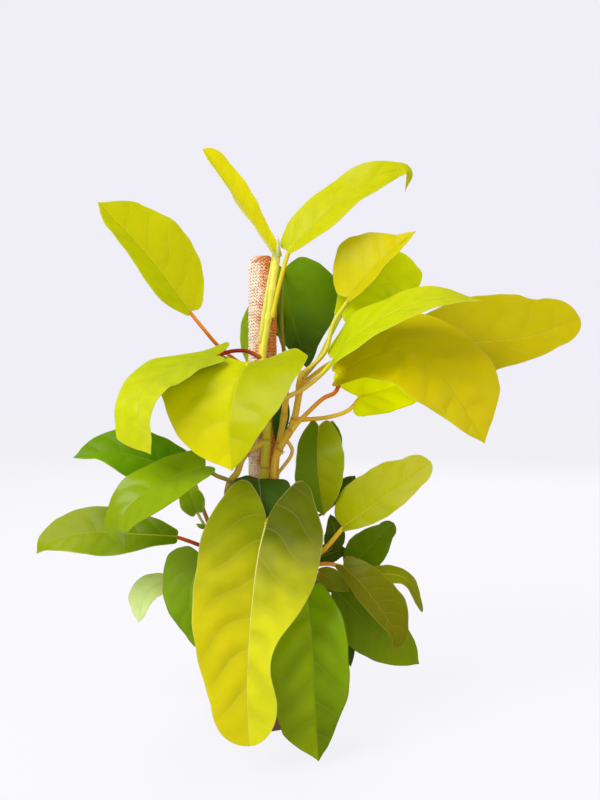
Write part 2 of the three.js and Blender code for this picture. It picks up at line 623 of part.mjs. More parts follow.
function addSoil() {
  const bottom = POT_WALL + FIT_GAP;
  const profile = [[0, bottom], [potInside(bottom) - FIT_GAP, bottom]];
  profile.push([potInside(SOIL_TOP) - FIT_GAP, SOIL_TOP]);
  SOIL_RINGS.forEach((radius) => profile.push([radius, SOIL_TOP]));
  profile.push([0, SOIL_TOP]);
  const geometry = lathe(profile, POT_SIDES);
  const position = geometry.attributes.position;
  for (let k = 0; k < position.count; k += 1) {
    const x = position.getX(k);
    const y = position.getY(k);
    const inside = Math.hypot(x, y) < SOIL_RINGS[0] + 1;
    if (inside && position.getZ(k) > SOIL_TOP - 1) {
      position.setZ(k, SOIL_TOP + soilHeight(x, y));
    }
  }
  let soil = toSolid(geometry);
  const wrapHole = POLE_RADIUS + WRAP_RELIEF + FIT_GAP;
  const stakeHole = STAKE_RADIUS + FIT_GAP;
  soil = soil.subtract(cylinder(wrapHole, WRAP_BOTTOM - FIT_GAP, POT_HEIGHT, 0, 0, POLE_HOLE_SIDES));
  soil = soil.subtract(cylinder(stakeHole, STAKE_BOTTOM - FIT_GAP, WRAP_BOTTOM, 0, 0, POLE_HOLE_SIDES));
  Object.values(VINES).forEach((vine) => {
    vine.stems.filter((stem) => stem.path[0][2] === STEM_FOOT).forEach((stem) => {
      const [x, y] = stem.path[0];
      const radius = stem.radius + STEM_HOLE_GAP;
      soil = soil.subtract(cylinder(radius, STEM_FOOT - FIT_GAP, POT_HEIGHT, x, y, STEM_HOLE_SIDES));
    });
  });
  addMesh('soil', fromSolid(soil), 'soil');
}

const WRAP_SIDES = 16;
const WRAP_RINGS = 9;
const WRAP_RELIEF_TURN = 2.4;
const CAP_SHOULDER = { share: 0.86, drop: 2.5 };
const CAP_CROWN_SHARE = 0.5;
const CAP_DIMPLE = 1.5;
const STAKE_SIDES = 16;

// Coir wrapped round the stake: a sleeve open below, closed and gathered over the top.
function addPole() {
  const inside = STAKE_RADIUS + FIT_GAP;
  const profile = [[inside, WRAP_BOTTOM], [POLE_RADIUS, WRAP_BOTTOM]];
  const straight = POLE_TOP - WRAP_CAP - WRAP_BOTTOM;
  for (let k = 1; k <= WRAP_RINGS; k += 1) {
    const z = WRAP_BOTTOM + (straight * k) / WRAP_RINGS;
    profile.push([POLE_RADIUS + WRAP_RELIEF * Math.sin(k * WRAP_RELIEF_TURN), z]);
  }
  profile.push([POLE_RADIUS * CAP_SHOULDER.share, POLE_TOP - CAP_SHOULDER.drop]);
  profile.push([POLE_RADIUS * CAP_CROWN_SHARE, POLE_TOP], [0, POLE_TOP - CAP_DIMPLE]);
  profile.push([0, POLE_TOP - WRAP_CAP], [inside, POLE_TOP - WRAP_CAP], [inside, WRAP_BOTTOM]);
  addMesh('pole_coir_wrap', fromSolid(toSolid(lathe(profile, WRAP_SIDES))), 'coir');
  const stakeTop = POLE_TOP - WRAP_CAP - FIT_GAP;
  const stake = cylinder(STAKE_RADIUS, STAKE_BOTTOM, stakeTop, 0, 0, STAKE_SIDES);
  addMesh('pole_stake', fromSolid(stake), 'wood');
}

addPot();
addSoil();
addPole();
Object.entries(VINES).forEach(([name, vine]) => addVine(name, vine));
addLeaves();

export default group;
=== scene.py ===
"""A golden-leaved climbing philodendron on a coir pole, in its nursery pot.

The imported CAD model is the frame. Finer blades, stems, coir, soil and pot stand where its nodes
stand, from the same formulas and sizes. Sizes are in millimetres until a mesh is made.
"""

from __future__ import annotations

import json
import logging
import math
import random
from dataclasses import dataclass, field
from enum import Enum
from typing import Any, Sequence

import bmesh
import bpy
import numpy as np
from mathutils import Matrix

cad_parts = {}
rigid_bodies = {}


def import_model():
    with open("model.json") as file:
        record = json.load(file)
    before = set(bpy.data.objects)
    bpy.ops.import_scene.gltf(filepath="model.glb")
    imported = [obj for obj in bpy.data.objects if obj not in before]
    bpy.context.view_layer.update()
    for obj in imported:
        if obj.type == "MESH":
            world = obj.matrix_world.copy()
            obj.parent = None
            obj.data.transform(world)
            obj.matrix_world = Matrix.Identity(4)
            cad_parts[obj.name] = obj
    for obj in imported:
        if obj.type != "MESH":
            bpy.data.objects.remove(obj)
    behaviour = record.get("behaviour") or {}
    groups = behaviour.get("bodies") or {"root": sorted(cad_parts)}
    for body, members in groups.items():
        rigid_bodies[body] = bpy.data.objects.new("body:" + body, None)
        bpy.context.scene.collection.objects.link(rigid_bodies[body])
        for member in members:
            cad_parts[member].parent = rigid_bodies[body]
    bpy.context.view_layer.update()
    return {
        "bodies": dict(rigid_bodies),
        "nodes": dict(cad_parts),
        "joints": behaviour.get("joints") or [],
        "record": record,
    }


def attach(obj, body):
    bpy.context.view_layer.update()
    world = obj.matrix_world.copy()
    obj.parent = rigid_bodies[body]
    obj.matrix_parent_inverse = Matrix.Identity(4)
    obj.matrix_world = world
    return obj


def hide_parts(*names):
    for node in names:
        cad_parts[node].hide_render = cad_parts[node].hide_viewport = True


LOG = logging.getLogger("philodendron")
MM = 0.001
BODY = "root"

Point = tuple[float, float, float]
Colour = tuple[float, float, float, float]
Socket = bpy.types.NodeSocket


def paint(code: str) -> Colour:
    """Turns a six-digit colour code into a linear colour.

    Args:
        code: Red, green and blue as hexadecimal pairs.

    Returns:
        The linear colour with full alpha.
    """
    shares = [int(code[k : k + 2], 16) / 255 for k in (0, 2, 4)]
    linear = [s / 12.92 if s <= 0.04045 else ((s + 0.055) / 1.055) ** 2.4 for s in shares]
    return (linear[0], linear[1], linear[2], 1.0)


class Slot(Enum):
    """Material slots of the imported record."""

    GOLD = "leaf_gold"
    LIME = "leaf_lime"
    OLIVE = "leaf_olive"
    GREEN = "leaf_green"
    DARK = "leaf_dark"
    PALE = "leaf_pale"
    BRONZE = "leaf_bronze"
    STEM = "stem"
    COIR = "coir"
    WOOD = "wood"
    SOIL = "soil"
    POT = "pot"


class Graph:
    """A node tree in the making, with short words for what is added often."""

    def __init__(self, tree: bpy.types.NodeTree) -> None:
        """Starts on a node tree."""
        self.tree = tree

    def add(self, kind: str, **settings: Any) -> bpy.types.Node:
        """Adds a node.

        Args:
            kind: The node's type name.
            **settings: Properties to set on it.

        Returns:
            The new node.
        """
        node = self.tree.nodes.new(kind)
        for key, value in settings.items():
            setattr(node, key, value)
        return node

    def feed(self, target: Socket, value: Any) -> None:
        """Links a socket to another one, or sets its number or colour.

        Args:
            target: The input socket.
            value: A socket to link from, or a plain value.
        """
        if isinstance(value, bpy.types.NodeSocket):
            self.tree.links.new(value, target)
        else:
            target.default_value = value

    def fill(self, node: bpy.types.Node, **entries: Any) -> None:
        """Fills inputs of a node: values or sockets by input name, with underscores for spaces."""
        for name, entry in entries.items():
            self.feed(node.inputs[name.replace("_", " ")], entry)

    def socket(self, node: bpy.types.Node, name: str) -> Socket:
        """Finds the enabled input of that name, where a node has one for each data type."""
        return next(s for s in node.inputs if s.name == name and s.enabled)

    def result(self, node: bpy.types.Node) -> Socket:
        """Gives the first enabled output of a node."""
        return next(s for s in node.outputs if s.enabled)

    def math(self, operation: str, a: Any, b: Any = 0.0) -> Socket:
        """Adds a Math node.

        Args:
            operation: Its operation.
            a: First value or socket.
            b: Second value or socket.

        Returns:
            Its output.
        """
        node = self.add("ShaderNodeMath", operation=operation)
        self.feed(node.inputs[0], a)
        self.feed(node.inputs[1], b)
        return node.outputs[0]

    def plus(self, a: Any, b: Any) -> Socket:
        """Adds two values."""
        return self.math("ADD", a, b)

    def minus(self, a: Any, b: Any) -> Socket:
        """Takes the second value from the first."""
        return self.math("SUBTRACT", a, b)

    def times(self, a: Any, b: Any) -> Socket:
        """Multiplies two values."""
        return self.math("MULTIPLY", a, b)

    def spread(self, value: Any, low: Any, high: Any, to_low: Any = 0.0, to_high: Any = 1.0) -> Socket:
        """Adds a smooth Map Range node.

        Args:
            value: The value to map.
            low: Where the range starts.
            high: Where it ends.
            to_low: Result at its start.
            to_high: Result at its end.

        Returns:
            Its output.
        """
        node = self.add("ShaderNodeMapRange", interpolation_type="SMOOTHSTEP")
        for k, entry in enumerate((value, low, high, to_low, to_high)):
            self.feed(node.inputs[k], entry)
        return node.outputs[0]

    def mix(self, factor: Any, a: Any, b: Any) -> Socket:
        """Adds a colour mix.

        Args:
            factor: Share of the second colour.
            a: First colour.
            b: Second colour.

        Returns:
            Its colour output.
        """
        node = self.add("ShaderNodeMix", data_type="RGBA")
        self.feed(self.socket(node, "Factor"), factor)
        self.feed(self.socket(node, "A"), a)
        self.feed(self.socket(node, "B"), b)
        return self.result(node)

    def noise(self, vector: Any, scale: float, detail: float = 3.0, rough: float = 0.55) -> Socket:
        """Adds a noise texture.

        Args:
            vector: Coordinates.
            scale: Features per metre, or per unit of the coordinates.
            detail: Octaves.
            rough: Share of each finer octave.

        Returns:
            Its value, around one half.
        """
        node = self.add("ShaderNodeTexNoise")
        self.fill(node, Vector=vector, Scale=scale, Detail=detail, Roughness=rough)
        return node.outputs[0]

    def place(self) -> Socket:
        """Adds object coordinates, in metres."""
        return self.add("ShaderNodeTexCoord").outputs["Object"]

    def named(self, name: str, output: str = "Vector") -> Socket:
        """Reads one of the piece's own attributes."""
        return self.add("ShaderNodeAttribute", attribute_name=name).outputs[output]

    def parts(self, vector: Any) -> list[Socket]:
        """Splits a vector.

        Args:
            vector: The vector.

        Returns:
            Its three numbers.
        """
        node = self.add("ShaderNodeSeparateXYZ")
        self.feed(node.inputs[0], vector)
        return list(node.outputs)

    def hued(self, colour: Any, hue: Any = 0.5, saturation: Any = 1.0, value: Any = 1.0) -> Socket:
        """Adds a hue, saturation and value change.

        Args:
            colour: The colour to change.
            hue: Turn of hue, 0.5 for none.
            saturation: Factor of saturation.
            value: Factor of brightness.

        Returns:
            The changed colour.
        """
        node = self.add("ShaderNodeHueSaturation")
        self.fill(node, Hue=hue, Saturation=saturation, Value=value, Color=colour)
        return node.outputs[0]

    def bump(self, height: Any, distance: float, strength: float) -> Socket:
        """Adds a Bump node.

        Args:
            height: The height value.
            distance: Metres that a height of one stands for.
            strength: How much of it shows.

        Returns:
            Its normal.
        """
        node = self.add("ShaderNodeBump")
        self.fill(node, Strength=strength, Distance=distance, Height=height)
        return node.outputs[0]


class SharedEffects:
    """Shader node groups that more than one finish uses. Each is built once."""

    RIB_CORE = 0.35
    FINE_VEINS = 5.0
    VEINS_FADE = (0.8, 0.98)
    # where the painted shade towards each side vein starts
    SOFT_FROM = 0.1
    EDGE_MM = (0.1, 0.7)
    RIB_DEPTH, LATERAL_DEPTH, FINE_DEPTH = 0.8, 0.4, 0.04
    BROAD_SCALE, SMALL_SCALE = 26.0, 120.0
    DRIFT = 0.3
    SIDE_BLEND = 0.06
    HUE_SWING = -0.06
    SPECKS = (0.58, 0.7)
    PATCHES = (0.35, 0.65)

    _built: dict[str, bpy.types.NodeTree] = {}

    @classmethod
    def _group(cls, name: str, inputs: dict[str, str], outputs: dict[str, str]) -> tuple[Graph, Any, Any]:
        """Makes an empty shader group.

        Args:
            name: The group's name.
            inputs: Socket types by input name.
            outputs: Socket types by output name.

        Returns:
            The graph, its input node and its output node.
        """
        tree = bpy.data.node_groups.new(name, "ShaderNodeTree")
        for direction, entries in (("INPUT", inputs), ("OUTPUT", outputs)):
            for label, kind in entries.items():
                tree.interface.new_socket(name=label, in_out=direction, socket_type=f"NodeSocket{kind}")
        graph = Graph(tree)
        cls._built[name] = tree
        return graph, graph.add("NodeGroupInput"), graph.add("NodeGroupOutput")

    @classmethod
    def use(cls, graph: Graph, name: str, **values: Any) -> bpy.types.Node:
        """Places a shared group in a material.

        Args:
            graph: The material's graph.
            name: The group's name.
            **values: Values or sockets by input name, with underscores for spaces.

        Returns:
            The group node.
        """
        if name not in cls._built:
            getattr(cls, f"_build_{name}")()
        node = graph.add("ShaderNodeGroup", node_tree=cls._built[name])
        graph.fill(node, **values)
        return node

    @staticmethod
    def _ridge(graph: Graph, phase: Any) -> Socket:
        """Gives one at each whole phase and nought half way between."""
        off = graph.minus(graph.math("FRACT", phase), 0.5)
        return graph.times(graph.math("ABSOLUTE", off), 2.0)

    @classmethod
    def _build_vein_pattern(cls) -> None:
        """Veins, margin and painted hollow shade of a blade, from its own coordinates."""
        graph, given, out = cls._group(
            "vein_pattern",
            {"Blade": "Vector", "Rib": "Vector", "Rib width": "Float", "Vein share": "Float"},
            {"Midrib": "Float", "Laterals": "Float", "Soft": "Float", "Edge": "Float", "Height": "Float"},
        )
        along, over, edge_mm = graph.parts(given.outputs["Blade"])
        phase, rib_mm, under = graph.parts(given.outputs["Rib"])
        width = graph.times(given.outputs["Rib width"], graph.minus(1.2, along))
        midrib = graph.spread(rib_mm, graph.times(width, cls.RIB_CORE), width, 1.0, 0.0)
        inner = graph.minus(1.0, graph.math("POWER", graph.math("ABSOLUTE", over), 3.0))
        fade = graph.times(inner, graph.spread(along, *cls.VEINS_FADE, 1.0, 0.0))
        near = cls._ridge(graph, phase)
        fine = cls._ridge(graph, graph.times(phase, cls.FINE_VEINS))
        start = graph.minus(1.0, given.outputs["Vein share"])
        laterals = graph.times(graph.spread(near, start, 1.0), fade)
        sunk = graph.plus(graph.times(midrib, cls.RIB_DEPTH), graph.times(laterals, cls.LATERAL_DEPTH))
        sunk = graph.plus(sunk, graph.times(fine, cls.FINE_DEPTH))
        sign = graph.minus(graph.times(under, 2.0), 1.0)
        # Soft is painted shade, darkest at the sunk side veins between the cushions
        graph.fill(
            out, Midrib=midrib, Laterals=laterals, Height=graph.times(sunk, sign),
            Soft=graph.times(graph.spread(near, cls.SOFT_FROM, 1.0), fade),
            Edge=graph.spread(edge_mm, *cls.EDGE_MM, 1.0, 0.0),
        )

    @classmethod
    def _build_blade_tones(cls) -> None:
        """Ground colour of a blade: two halves, each from petiole to tip, with soft mottling."""
        colours = {f"{side} {end}": "Color" for side in ("Plus", "Minus") for end in ("near", "far")}
        graph, given, out = cls._group(
            "blade_tones",
            {"Blade": "Vector", "Place": "Vector", **colours, "Mottle": "Float",
             "Fade start": "Float", "Fade end": "Float"},
            {"Colour": "Color"},
        )
        along, over, _ = graph.parts(given.outputs["Blade"])
        place = given.outputs["Place"]
        broad = graph.noise(place, cls.BROAD_SCALE, 2.0)
        drift = graph.times(graph.minus(broad, 0.5), cls.DRIFT)
        start, end = given.outputs["Fade start"], given.outputs["Fade end"]
        share = graph.spread(graph.plus(along, drift), start, end)
        side = graph.spread(over, -cls.SIDE_BLEND, cls.SIDE_BLEND)
        halves = [
            graph.mix(share, given.outputs[f"{name} near"], given.outputs[f"{name} far"])
            for name in ("Minus", "Plus")
        ]
        ground = graph.mix(side, *halves)
        small = graph.minus(graph.noise(place, cls.SMALL_SCALE, 2.0, 0.5), 0.5)
        swing = graph.times(graph.plus(small, drift), given.outputs["Mottle"])
        hue = graph.plus(0.5, graph.times(swing, cls.HUE_SWING))
        graph.feed(out.inputs["Colour"], graph.hued(ground, hue, 1.0, graph.plus(1.0, swing)))

    @classmethod
    def _build_specks(cls) -> None:
        """Grain and dust: small specks, soft patches and a height for bump."""
        graph, given, out = cls._group(
            "specks",
            {"Place": "Vector", "Grain": "Float", "Patch": "Float"},
            {"Specks": "Float", "Patches": "Float", "Height": "Float"},
        )
        scaled = []
        for name in ("Grain", "Patch"):
            node = graph.add("ShaderNodeTexNoise")
            graph.fill(node, Vector=given.outputs["Place"], Scale=given.outputs[name], Detail=4.0)
            scaled.append(node.outputs[0])
        specks, patches = graph.spread(scaled[0], *cls.SPECKS), graph.spread(scaled[1], *cls.PATCHES)
        graph.fill(out, Specks=specks, Patches=patches, Height=scaled[0])


def new_material(name: str) -> tuple[bpy.types.Material, Graph, bpy.types.Node]:
    """Makes a material with its Principled shader.

    Args:
        name: The material's name.

    Returns:
        The material, its graph and the shader node.
    """
    material = bpy.data.materials.new(name)
    material.use_nodes = True
    graph = Graph(material.node_tree)
    return material, graph, material.node_tree.nodes["Principled BSDF"]


@dataclass(frozen=True)
class BladeFinish:
    """Living leaf tissue: satin, slightly translucent, with its veins.

    plus and minus are the tones of the two halves, near the petiole and at the tip. A field that
    ends in _show is the share in which a tone shows over them.
    """

    plus: tuple[str, str]
    minus: tuple[str, str] | None = None
    vein: str = "e0e050"
    edge: str = "d8d880"
    rough: float = 0.34
    mottle: float = 0.14
    vein_show: float = 0.05
    # painted shade in the hollows along the side veins
    hollow: float = 0.03
    rib_show: float = 0.4
    glow: float = 0.3
    shine: float = 0.04
    fade: tuple[float, float] = (0.02, 0.9)
    under: str = "c8cc70"
    under_show: float = 0.22
    edge_show: float = 0.4
    rib_width: float = 0.85
    vein_share: float = 0.11
    brightness: float = 1.04
    grain_depth: float = 0.16
    vein_depth: float = 0.0005
    relief: float = 0.5

    def material(self, name: str) -> bpy.types.Material:
        """Builds the finish.

        Args:
            name: The material's name.

        Returns:
            The material.
        """
        material, graph, skin = new_material(name)
        blade, rib, place = graph.named("blade"), graph.named("rib"), graph.place()
        veins = SharedEffects.use(
            graph, "vein_pattern", Blade=blade, Rib=rib, Rib_width=self.rib_width, Vein_share=self.vein_share
        )
        colour = self._colour(graph, blade, place, veins)
        under = graph.times(graph.parts(rib)[2], self.under_show)
        colour = graph.mix(under, colour, paint(self.under))
        wear = graph.noise(place, 60.0, 3.0)
        grain = graph.times(graph.noise(place, 420.0, 2.0), self.grain_depth)
        height = graph.plus(veins.outputs["Height"], grain)
        graph.fill(
            skin, Base_Color=colour, Specular_IOR_Level=0.12, Coat_Weight=self.shine, Coat_Roughness=0.2,
            Roughness=graph.spread(wear, 0.3, 0.7, self.rough - 0.05, self.rough + 0.09),
            Normal=graph.bump(height, self.vein_depth, self.relief),
        )
        through = graph.add("ShaderNodeBsdfTranslucent")
        graph.feed(through.inputs["Color"], graph.hued(colour, 0.497, 1.1, 1.25))
        blend = graph.add("ShaderNodeMixShader")
        blend.inputs[0].default_value = self.glow
        graph.feed(blend.inputs[1], skin.outputs[0])
        graph.feed(blend.inputs[2], through.outputs[0])
        graph.feed(material.node_tree.nodes["Material Output"].inputs["Surface"], blend.outputs[0])
        return material

    def _colour(self, graph: Graph, blade: Socket, place: Socket, veins: bpy.types.Node) -> Socket:
        """Adds the tones of the upper face, with its veins, margin and painted shade along its sunk side
        veins.

        Args:
            graph: The material's graph.
            blade: Blade coordinates.
            place: Object coordinates.
            veins: The vein pattern.

        Returns:
            The colour.
        """
        minus = self.minus or self.plus
        tones = SharedEffects.use(
            graph, "blade_tones", Blade=blade, Place=place, Mottle=self.mottle,
            Fade_start=self.fade[0], Fade_end=self.fade[1],
            Plus_near=paint(self.plus[0]), Plus_far=paint(self.plus[1]),
            Minus_near=paint(minus[0]), Minus_far=paint(minus[1]),
        )
        # painted shade: the colour darkens towards the sunk side veins
        soft = graph.minus(self.brightness, graph.times(veins.outputs["Soft"], self.hollow))
        colour = graph.hued(tones.outputs["Colour"], 0.5, 1.0, soft)
        layers = (
            ("Laterals", self.vein_show, self.vein), ("Midrib", self.rib_show, self.vein),
            ("Edge", self.edge_show, self.edge),
        )
        for mask, share, tone in layers:
            colour = graph.mix(graph.times(veins.outputs[mask], share), colour, paint(tone))
        return colour


@dataclass(frozen=True)
class StemFinish:
    """Smooth stem and petiole skin, its ground colour carried by the piece."""

    rough: float = 0.34
    streak_show: float = 0.5
    speck: str = "8a4a1c"
    speck_show: float = 0.14
    shine: float = 0.12

    def material(self, name: str) -> bpy.types.Material:
        """Builds the finish.

        Args:
            name: The material's name.

        Returns:
            The material.
        """
        material, graph, skin = new_material(name)
        streaks = graph.noise(graph.named("lines"), 1.0, 4.0, 0.6)
        swing = graph.times(graph.minus(streaks, 0.5), self.streak_show)
        colour = graph.hued(graph.named("tint", "Color"), 0.5, 1.0, graph.plus(1.0, swing))
        specks = SharedEffects.use(graph, "specks", Place=graph.place(), Grain=700.0, Patch=90.0)
        spots = graph.times(specks.outputs["Specks"], self.speck_show)
        height = graph.plus(streaks, graph.times(specks.outputs["Height"], 0.4))
        graph.fill(
            skin, Base_Color=graph.mix(spots, colour, paint(self.speck)), Specular_IOR_Level=0.25,
            Roughness=graph.spread(specks.outputs["Patches"], 0.0, 1.0, self.rough - 0.05, self.rough + 0.12),
            Coat_Weight=self.shine, Coat_Roughness=0.2, Normal=graph.bump(height, 0.0004, 0.4),
        )
        return material


@dataclass(frozen=True)
class CoirFinish:
    """Dry coconut fibre, with painted shade: pinkish cream on the pole's lit left and orange-brown on its
    right.
    """

    pale: str = "ffeedc"
    warm: str = "ea9440"
    deep: str = "a4501c"
    # turn is the x span, in metres, of the painted shade from the pole's lit left to its shaded right
    turn: tuple[float, float] = (-0.013, 0.011)
    turn_show: float = 0.7
    patch_show: float = 1.5
    deep_show: float = 0.45

    def material(self, name: str) -> bpy.types.Material:
        """Builds the finish.

        Args:
            name: The material's name.

        Returns:
            The material.
        """
        material, graph, skin = new_material(name)
        place = graph.place()
        # painted shade: pale on the pole's left, where the light falls, and orange-brown on its right, mixed
        # with random patches
        side = graph.spread(graph.parts(place)[0], *self.turn)
        patch = graph.times(graph.minus(graph.noise(place, 120.0, 4.0, 0.65), 0.45), self.patch_show)
        warmth = graph.plus(graph.times(side, self.turn_show), patch)
        colour = graph.mix(graph.spread(warmth, 0.1, 0.8), paint(self.pale), paint(self.warm))
        fibre = graph.noise(place, 1400.0, 3.0, 0.7)
        shade = paint(self.deep)
        colour = graph.mix(graph.spread(fibre, 0.55, 0.8, 0.0, self.deep_show), colour, shade)
        # painted shade: the depth attribute darkens the sleeve's ground between the stitches; on stitches and
        # swirl strands it is random tone
        colour = graph.mix(graph.times(graph.named("depth", "Fac"), self.deep_show), colour, shade)
        graph.fill(
            skin, Base_Color=colour, Roughness=graph.spread(fibre, 0.3, 0.7, 0.8, 0.98),
            Specular_IOR_Level=0.2, Normal=graph.bump(fibre, 0.0004, 0.7),
        )
        return material


@dataclass(frozen=True)
class WoodFinish:
    """Plain dowel wood with grain along its length."""

    dark: str = "8a6438"
    light: str = "caa672"

    def material(self, name: str) -> bpy.types.Material:
        """Builds the finish.

        Args:
            name: The material's name.

        Returns:
            The material.
        """
        material, graph, skin = new_material(name)
        stretch = graph.add("ShaderNodeMapping")
        stretch.inputs["Scale"].default_value = (1.0, 1.0, 0.06)
        graph.feed(stretch.inputs["Vector"], graph.place())
        grain = graph.noise(stretch.outputs[0], 900.0, 5.0, 0.6)
        graph.fill(
            skin, Base_Color=graph.mix(grain, paint(self.dark), paint(self.light)),
            Roughness=graph.spread(grain, 0.3, 0.7, 0.65, 0.85), Normal=graph.bump(grain, 0.0003, 0.5),
        )
        return material


@dataclass(frozen=True)
class SoilFinish:
    """Moist peat mix with bark crumbs and a little perlite."""

    peat: tuple[str, str] = ("1d140e", "4a3424")
    bark: str = "6e4a2c"
    perlite: str = "d8d2c6"

    def material(self, name: str) -> bpy.types.Material:
        """Builds the finish.

        Args:
            name: The material's name.

        Returns:
            The material.
        """
        material, graph, skin = new_material(name)
        place, kind = graph.place(), graph.named("kind", "Fac")
        coarse = graph.noise(place, 260.0, 5.0, 0.65)
        colour = graph.mix(graph.spread(coarse, 0.35, 0.7), *(paint(tone) for tone in self.peat))
        colour = graph.mix(graph.spread(kind, 0.55, 0.8, 0.0, 0.8), colour, paint(self.bark))
        colour = graph.mix(graph.spread(kind, 0.93, 0.95), colour, paint(self.perlite))
        fine = graph.noise(place, 900.0, 4.0, 0.7)
        graph.fill(
            skin, Base_Color=colour, Roughness=graph.spread(coarse, 0.3, 0.7, 0.75, 1.0),
            Normal=graph.bump(graph.plus(coarse, fine), 0.0012, 0.8),
        )
        return material


@dataclass(frozen=True)
class PotFinish:
    """Moulded plastic, dark reddish brown, with faint moulding lines and a little dust."""

    ground: str = "5a2e22"
    patch: str = "6e3c2c"
    dust: str = "8a6a54"
    speck: str = "a08068"
    dust_height: float = 0.022
    rings_turn: float = 2900.0

    def material(self, name: str) -> bpy.types.Material:
        """Builds the finish.

        Args:
            name: The material's name.

        Returns:
            The material.
        """
        material, graph, skin = new_material(name)
        place = graph.place()
        specks = SharedEffects.use(graph, "specks", Place=place, Grain=1600.0, Patch=34.0)
        patches = specks.outputs["Patches"]
        height = graph.parts(place)[2]
        dust = graph.times(graph.spread(height, self.dust_height, 0.0), patches)
        colour = paint(self.ground)
        layers = (
            (patches, 0.3, self.patch), (dust, 0.5, self.dust), (specks.outputs["Specks"], 0.12, self.speck),
        )
        for mask, share, tone in layers:
            colour = graph.mix(graph.times(mask, share), colour, paint(tone))
        rough = graph.spread(patches, 0.0, 1.0, 0.38, 0.52)
        rings = graph.math("SINE", graph.times(height, self.rings_turn))
        relief = graph.plus(graph.times(rings, 0.12), specks.outputs["Height"])
        graph.fill(
            skin, Base_Color=colour, Roughness=graph.plus(rough, graph.times(dust, 0.3)),
            Normal=graph.bump(relief, 0.0002, 0.35),
        )
        return material


@dataclass(frozen=True)
class FloorFinish:
    """Pale matt studio floor, lit evenly from below."""

    tint: str = "f0eff3"
    matt: tuple[str, str] = ("59585b", "5c5b5e")
    shown: float = 0.95
    bounced: float = 0.5

    def material(self, name: str) -> bpy.types.Material:
        """Builds the finish.

        Args:
            name: The material's name.

        Returns:
            The material.
        """
        material, graph, skin = new_material(name)
        tooth = graph.noise(graph.place(), 40.0, 3.0)
        ray = graph.add("ShaderNodeLightPath").outputs["Is Camera Ray"]
        shown = graph.times(ray, self.shown - self.bounced)
        graph.fill(
            skin, Base_Color=graph.mix(tooth, *(paint(tone) for tone in self.matt)), Roughness=1.0,
            Specular_IOR_Level=0.0, Emission_Color=paint(self.tint),
            Emission_Strength=graph.plus(shown, self.bounced),
        )
        return material


class Path:
    """A smooth line through points, measured along its length as the CAD model's curves are."""

    STEPS = 200
    TANGENT_STEP = 1e-4

    def __init__(self, points: Sequence[Point]) -> None:
        """Measures the line.

        Args:
            points: The points that it passes through.
        """
        inner = np.array(points, float)
        first, last = 2 * inner[0] - inner[1], 2 * inner[-1] - inner[-2]
        self._points = np.vstack([first, inner, last])
        self._spans = len(inner) - 1
        self._t = np.linspace(0, 1, self.STEPS + 1)
        steps = np.linalg.norm(np.diff(self._at(self._t), axis=0), axis=1)
        self._lengths = np.concatenate([[0.0], np.cumsum(steps)])
        self.length = float(self._lengths[-1])

    def _at(self, t: np.ndarray) -> np.ndarray:
        """Gives points by the curve's own parameter.

        Args:
            t: Values of the parameter, from 0 to 1.

        Returns:
            A point for each value.
        """
        place = np.clip(t, 0, 1) * self._spans
        k = np.minimum(place.astype(int), self._spans - 1)
        x = (place - k)[:, None]
        p0, p1, p2, p3 = (self._points[k + step] for step in range(4))
        a, b = (p2 - p0) / 2, (p3 - p1) / 2
        return p1 + a * x + (3 * (p2 - p1) - 2 * a - b) * x**2 + (2 * (p1 - p2) + a + b) * x**3

    def _own(self, u: np.ndarray) -> np.ndarray:
        """Turns a share of the length into the curve's own parameter."""
        return np.interp(np.asarray(u, float) * self.length, self._lengths, self._t)

    def at(self, u: np.ndarray) -> np.ndarray:
        """Gives points by share of the length."""
        return self._at(self._own(u))

    def tangent(self, u: np.ndarray) -> np.ndarray:
        """Gives directions along the line.

        Args:
            u: Shares of the length.

        Returns:
            A unit vector for each share.
        """
        t, step = self._own(u), self.TANGENT_STEP
        ahead = self._at(np.minimum(t + step, 1)) - self._at(np.maximum(t - step, 0))
        return unit(ahead)


def unit(vectors: np.ndarray) -> np.ndarray:
    """Gives vectors of length one in the same directions."""
    return vectors / np.maximum(np.linalg.norm(vectors, axis=-1, keepdims=True), 1e-12)


def mesh_piece(name: str, mesh: bpy.types.Mesh, smooth: bool = True) -> bpy.types.Object:
    """Puts a mesh into the scene as a piece at the origin.

    Args:
        name: The piece's name.
        mesh: Its mesh, in metres.
        smooth: Whether its faces are shaded smooth.

    Returns:
        The object.
    """
    mesh.polygons.foreach_set("use_smooth", [smooth] * len(mesh.polygons))
    piece = bpy.data.objects.new(name, mesh)
    bpy.context.scene.collection.objects.link(piece)
    return piece


def store(mesh: bpy.types.Mesh, name: str, kind: str, values: np.ndarray) -> None:
    """Keeps a value for each vertex.

    Args:
        mesh: The mesh.
        name: The attribute's name.
        kind: Its data type.
        values: One row for each vertex.
    """
    key = {"FLOAT": "value", "FLOAT_VECTOR": "vector", "FLOAT_COLOR": "color"}[kind]
    layer = mesh.attributes.new(name, kind, "POINT")
    layer.data.foreach_set(key, np.ascontiguousarray(values, dtype=np.float32).ravel())


def settle(piece: bpy.types.Object, slot: Slot, *nodes: str) -> bpy.types.Object:
    """Rides a finished piece on the plant's body and hides what it stands for.

    Args:
        piece: The piece.
        slot: The record's slot, which the log names.
        *nodes: CAD nodes that it replaces.

    Returns:
        The piece.
    """
    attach(piece, BODY)
    if nodes:
        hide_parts(*nodes)
    LOG.info("%s: %d faces, slot %s", piece.name, len(piece.data.polygons), slot.value)
    return piece


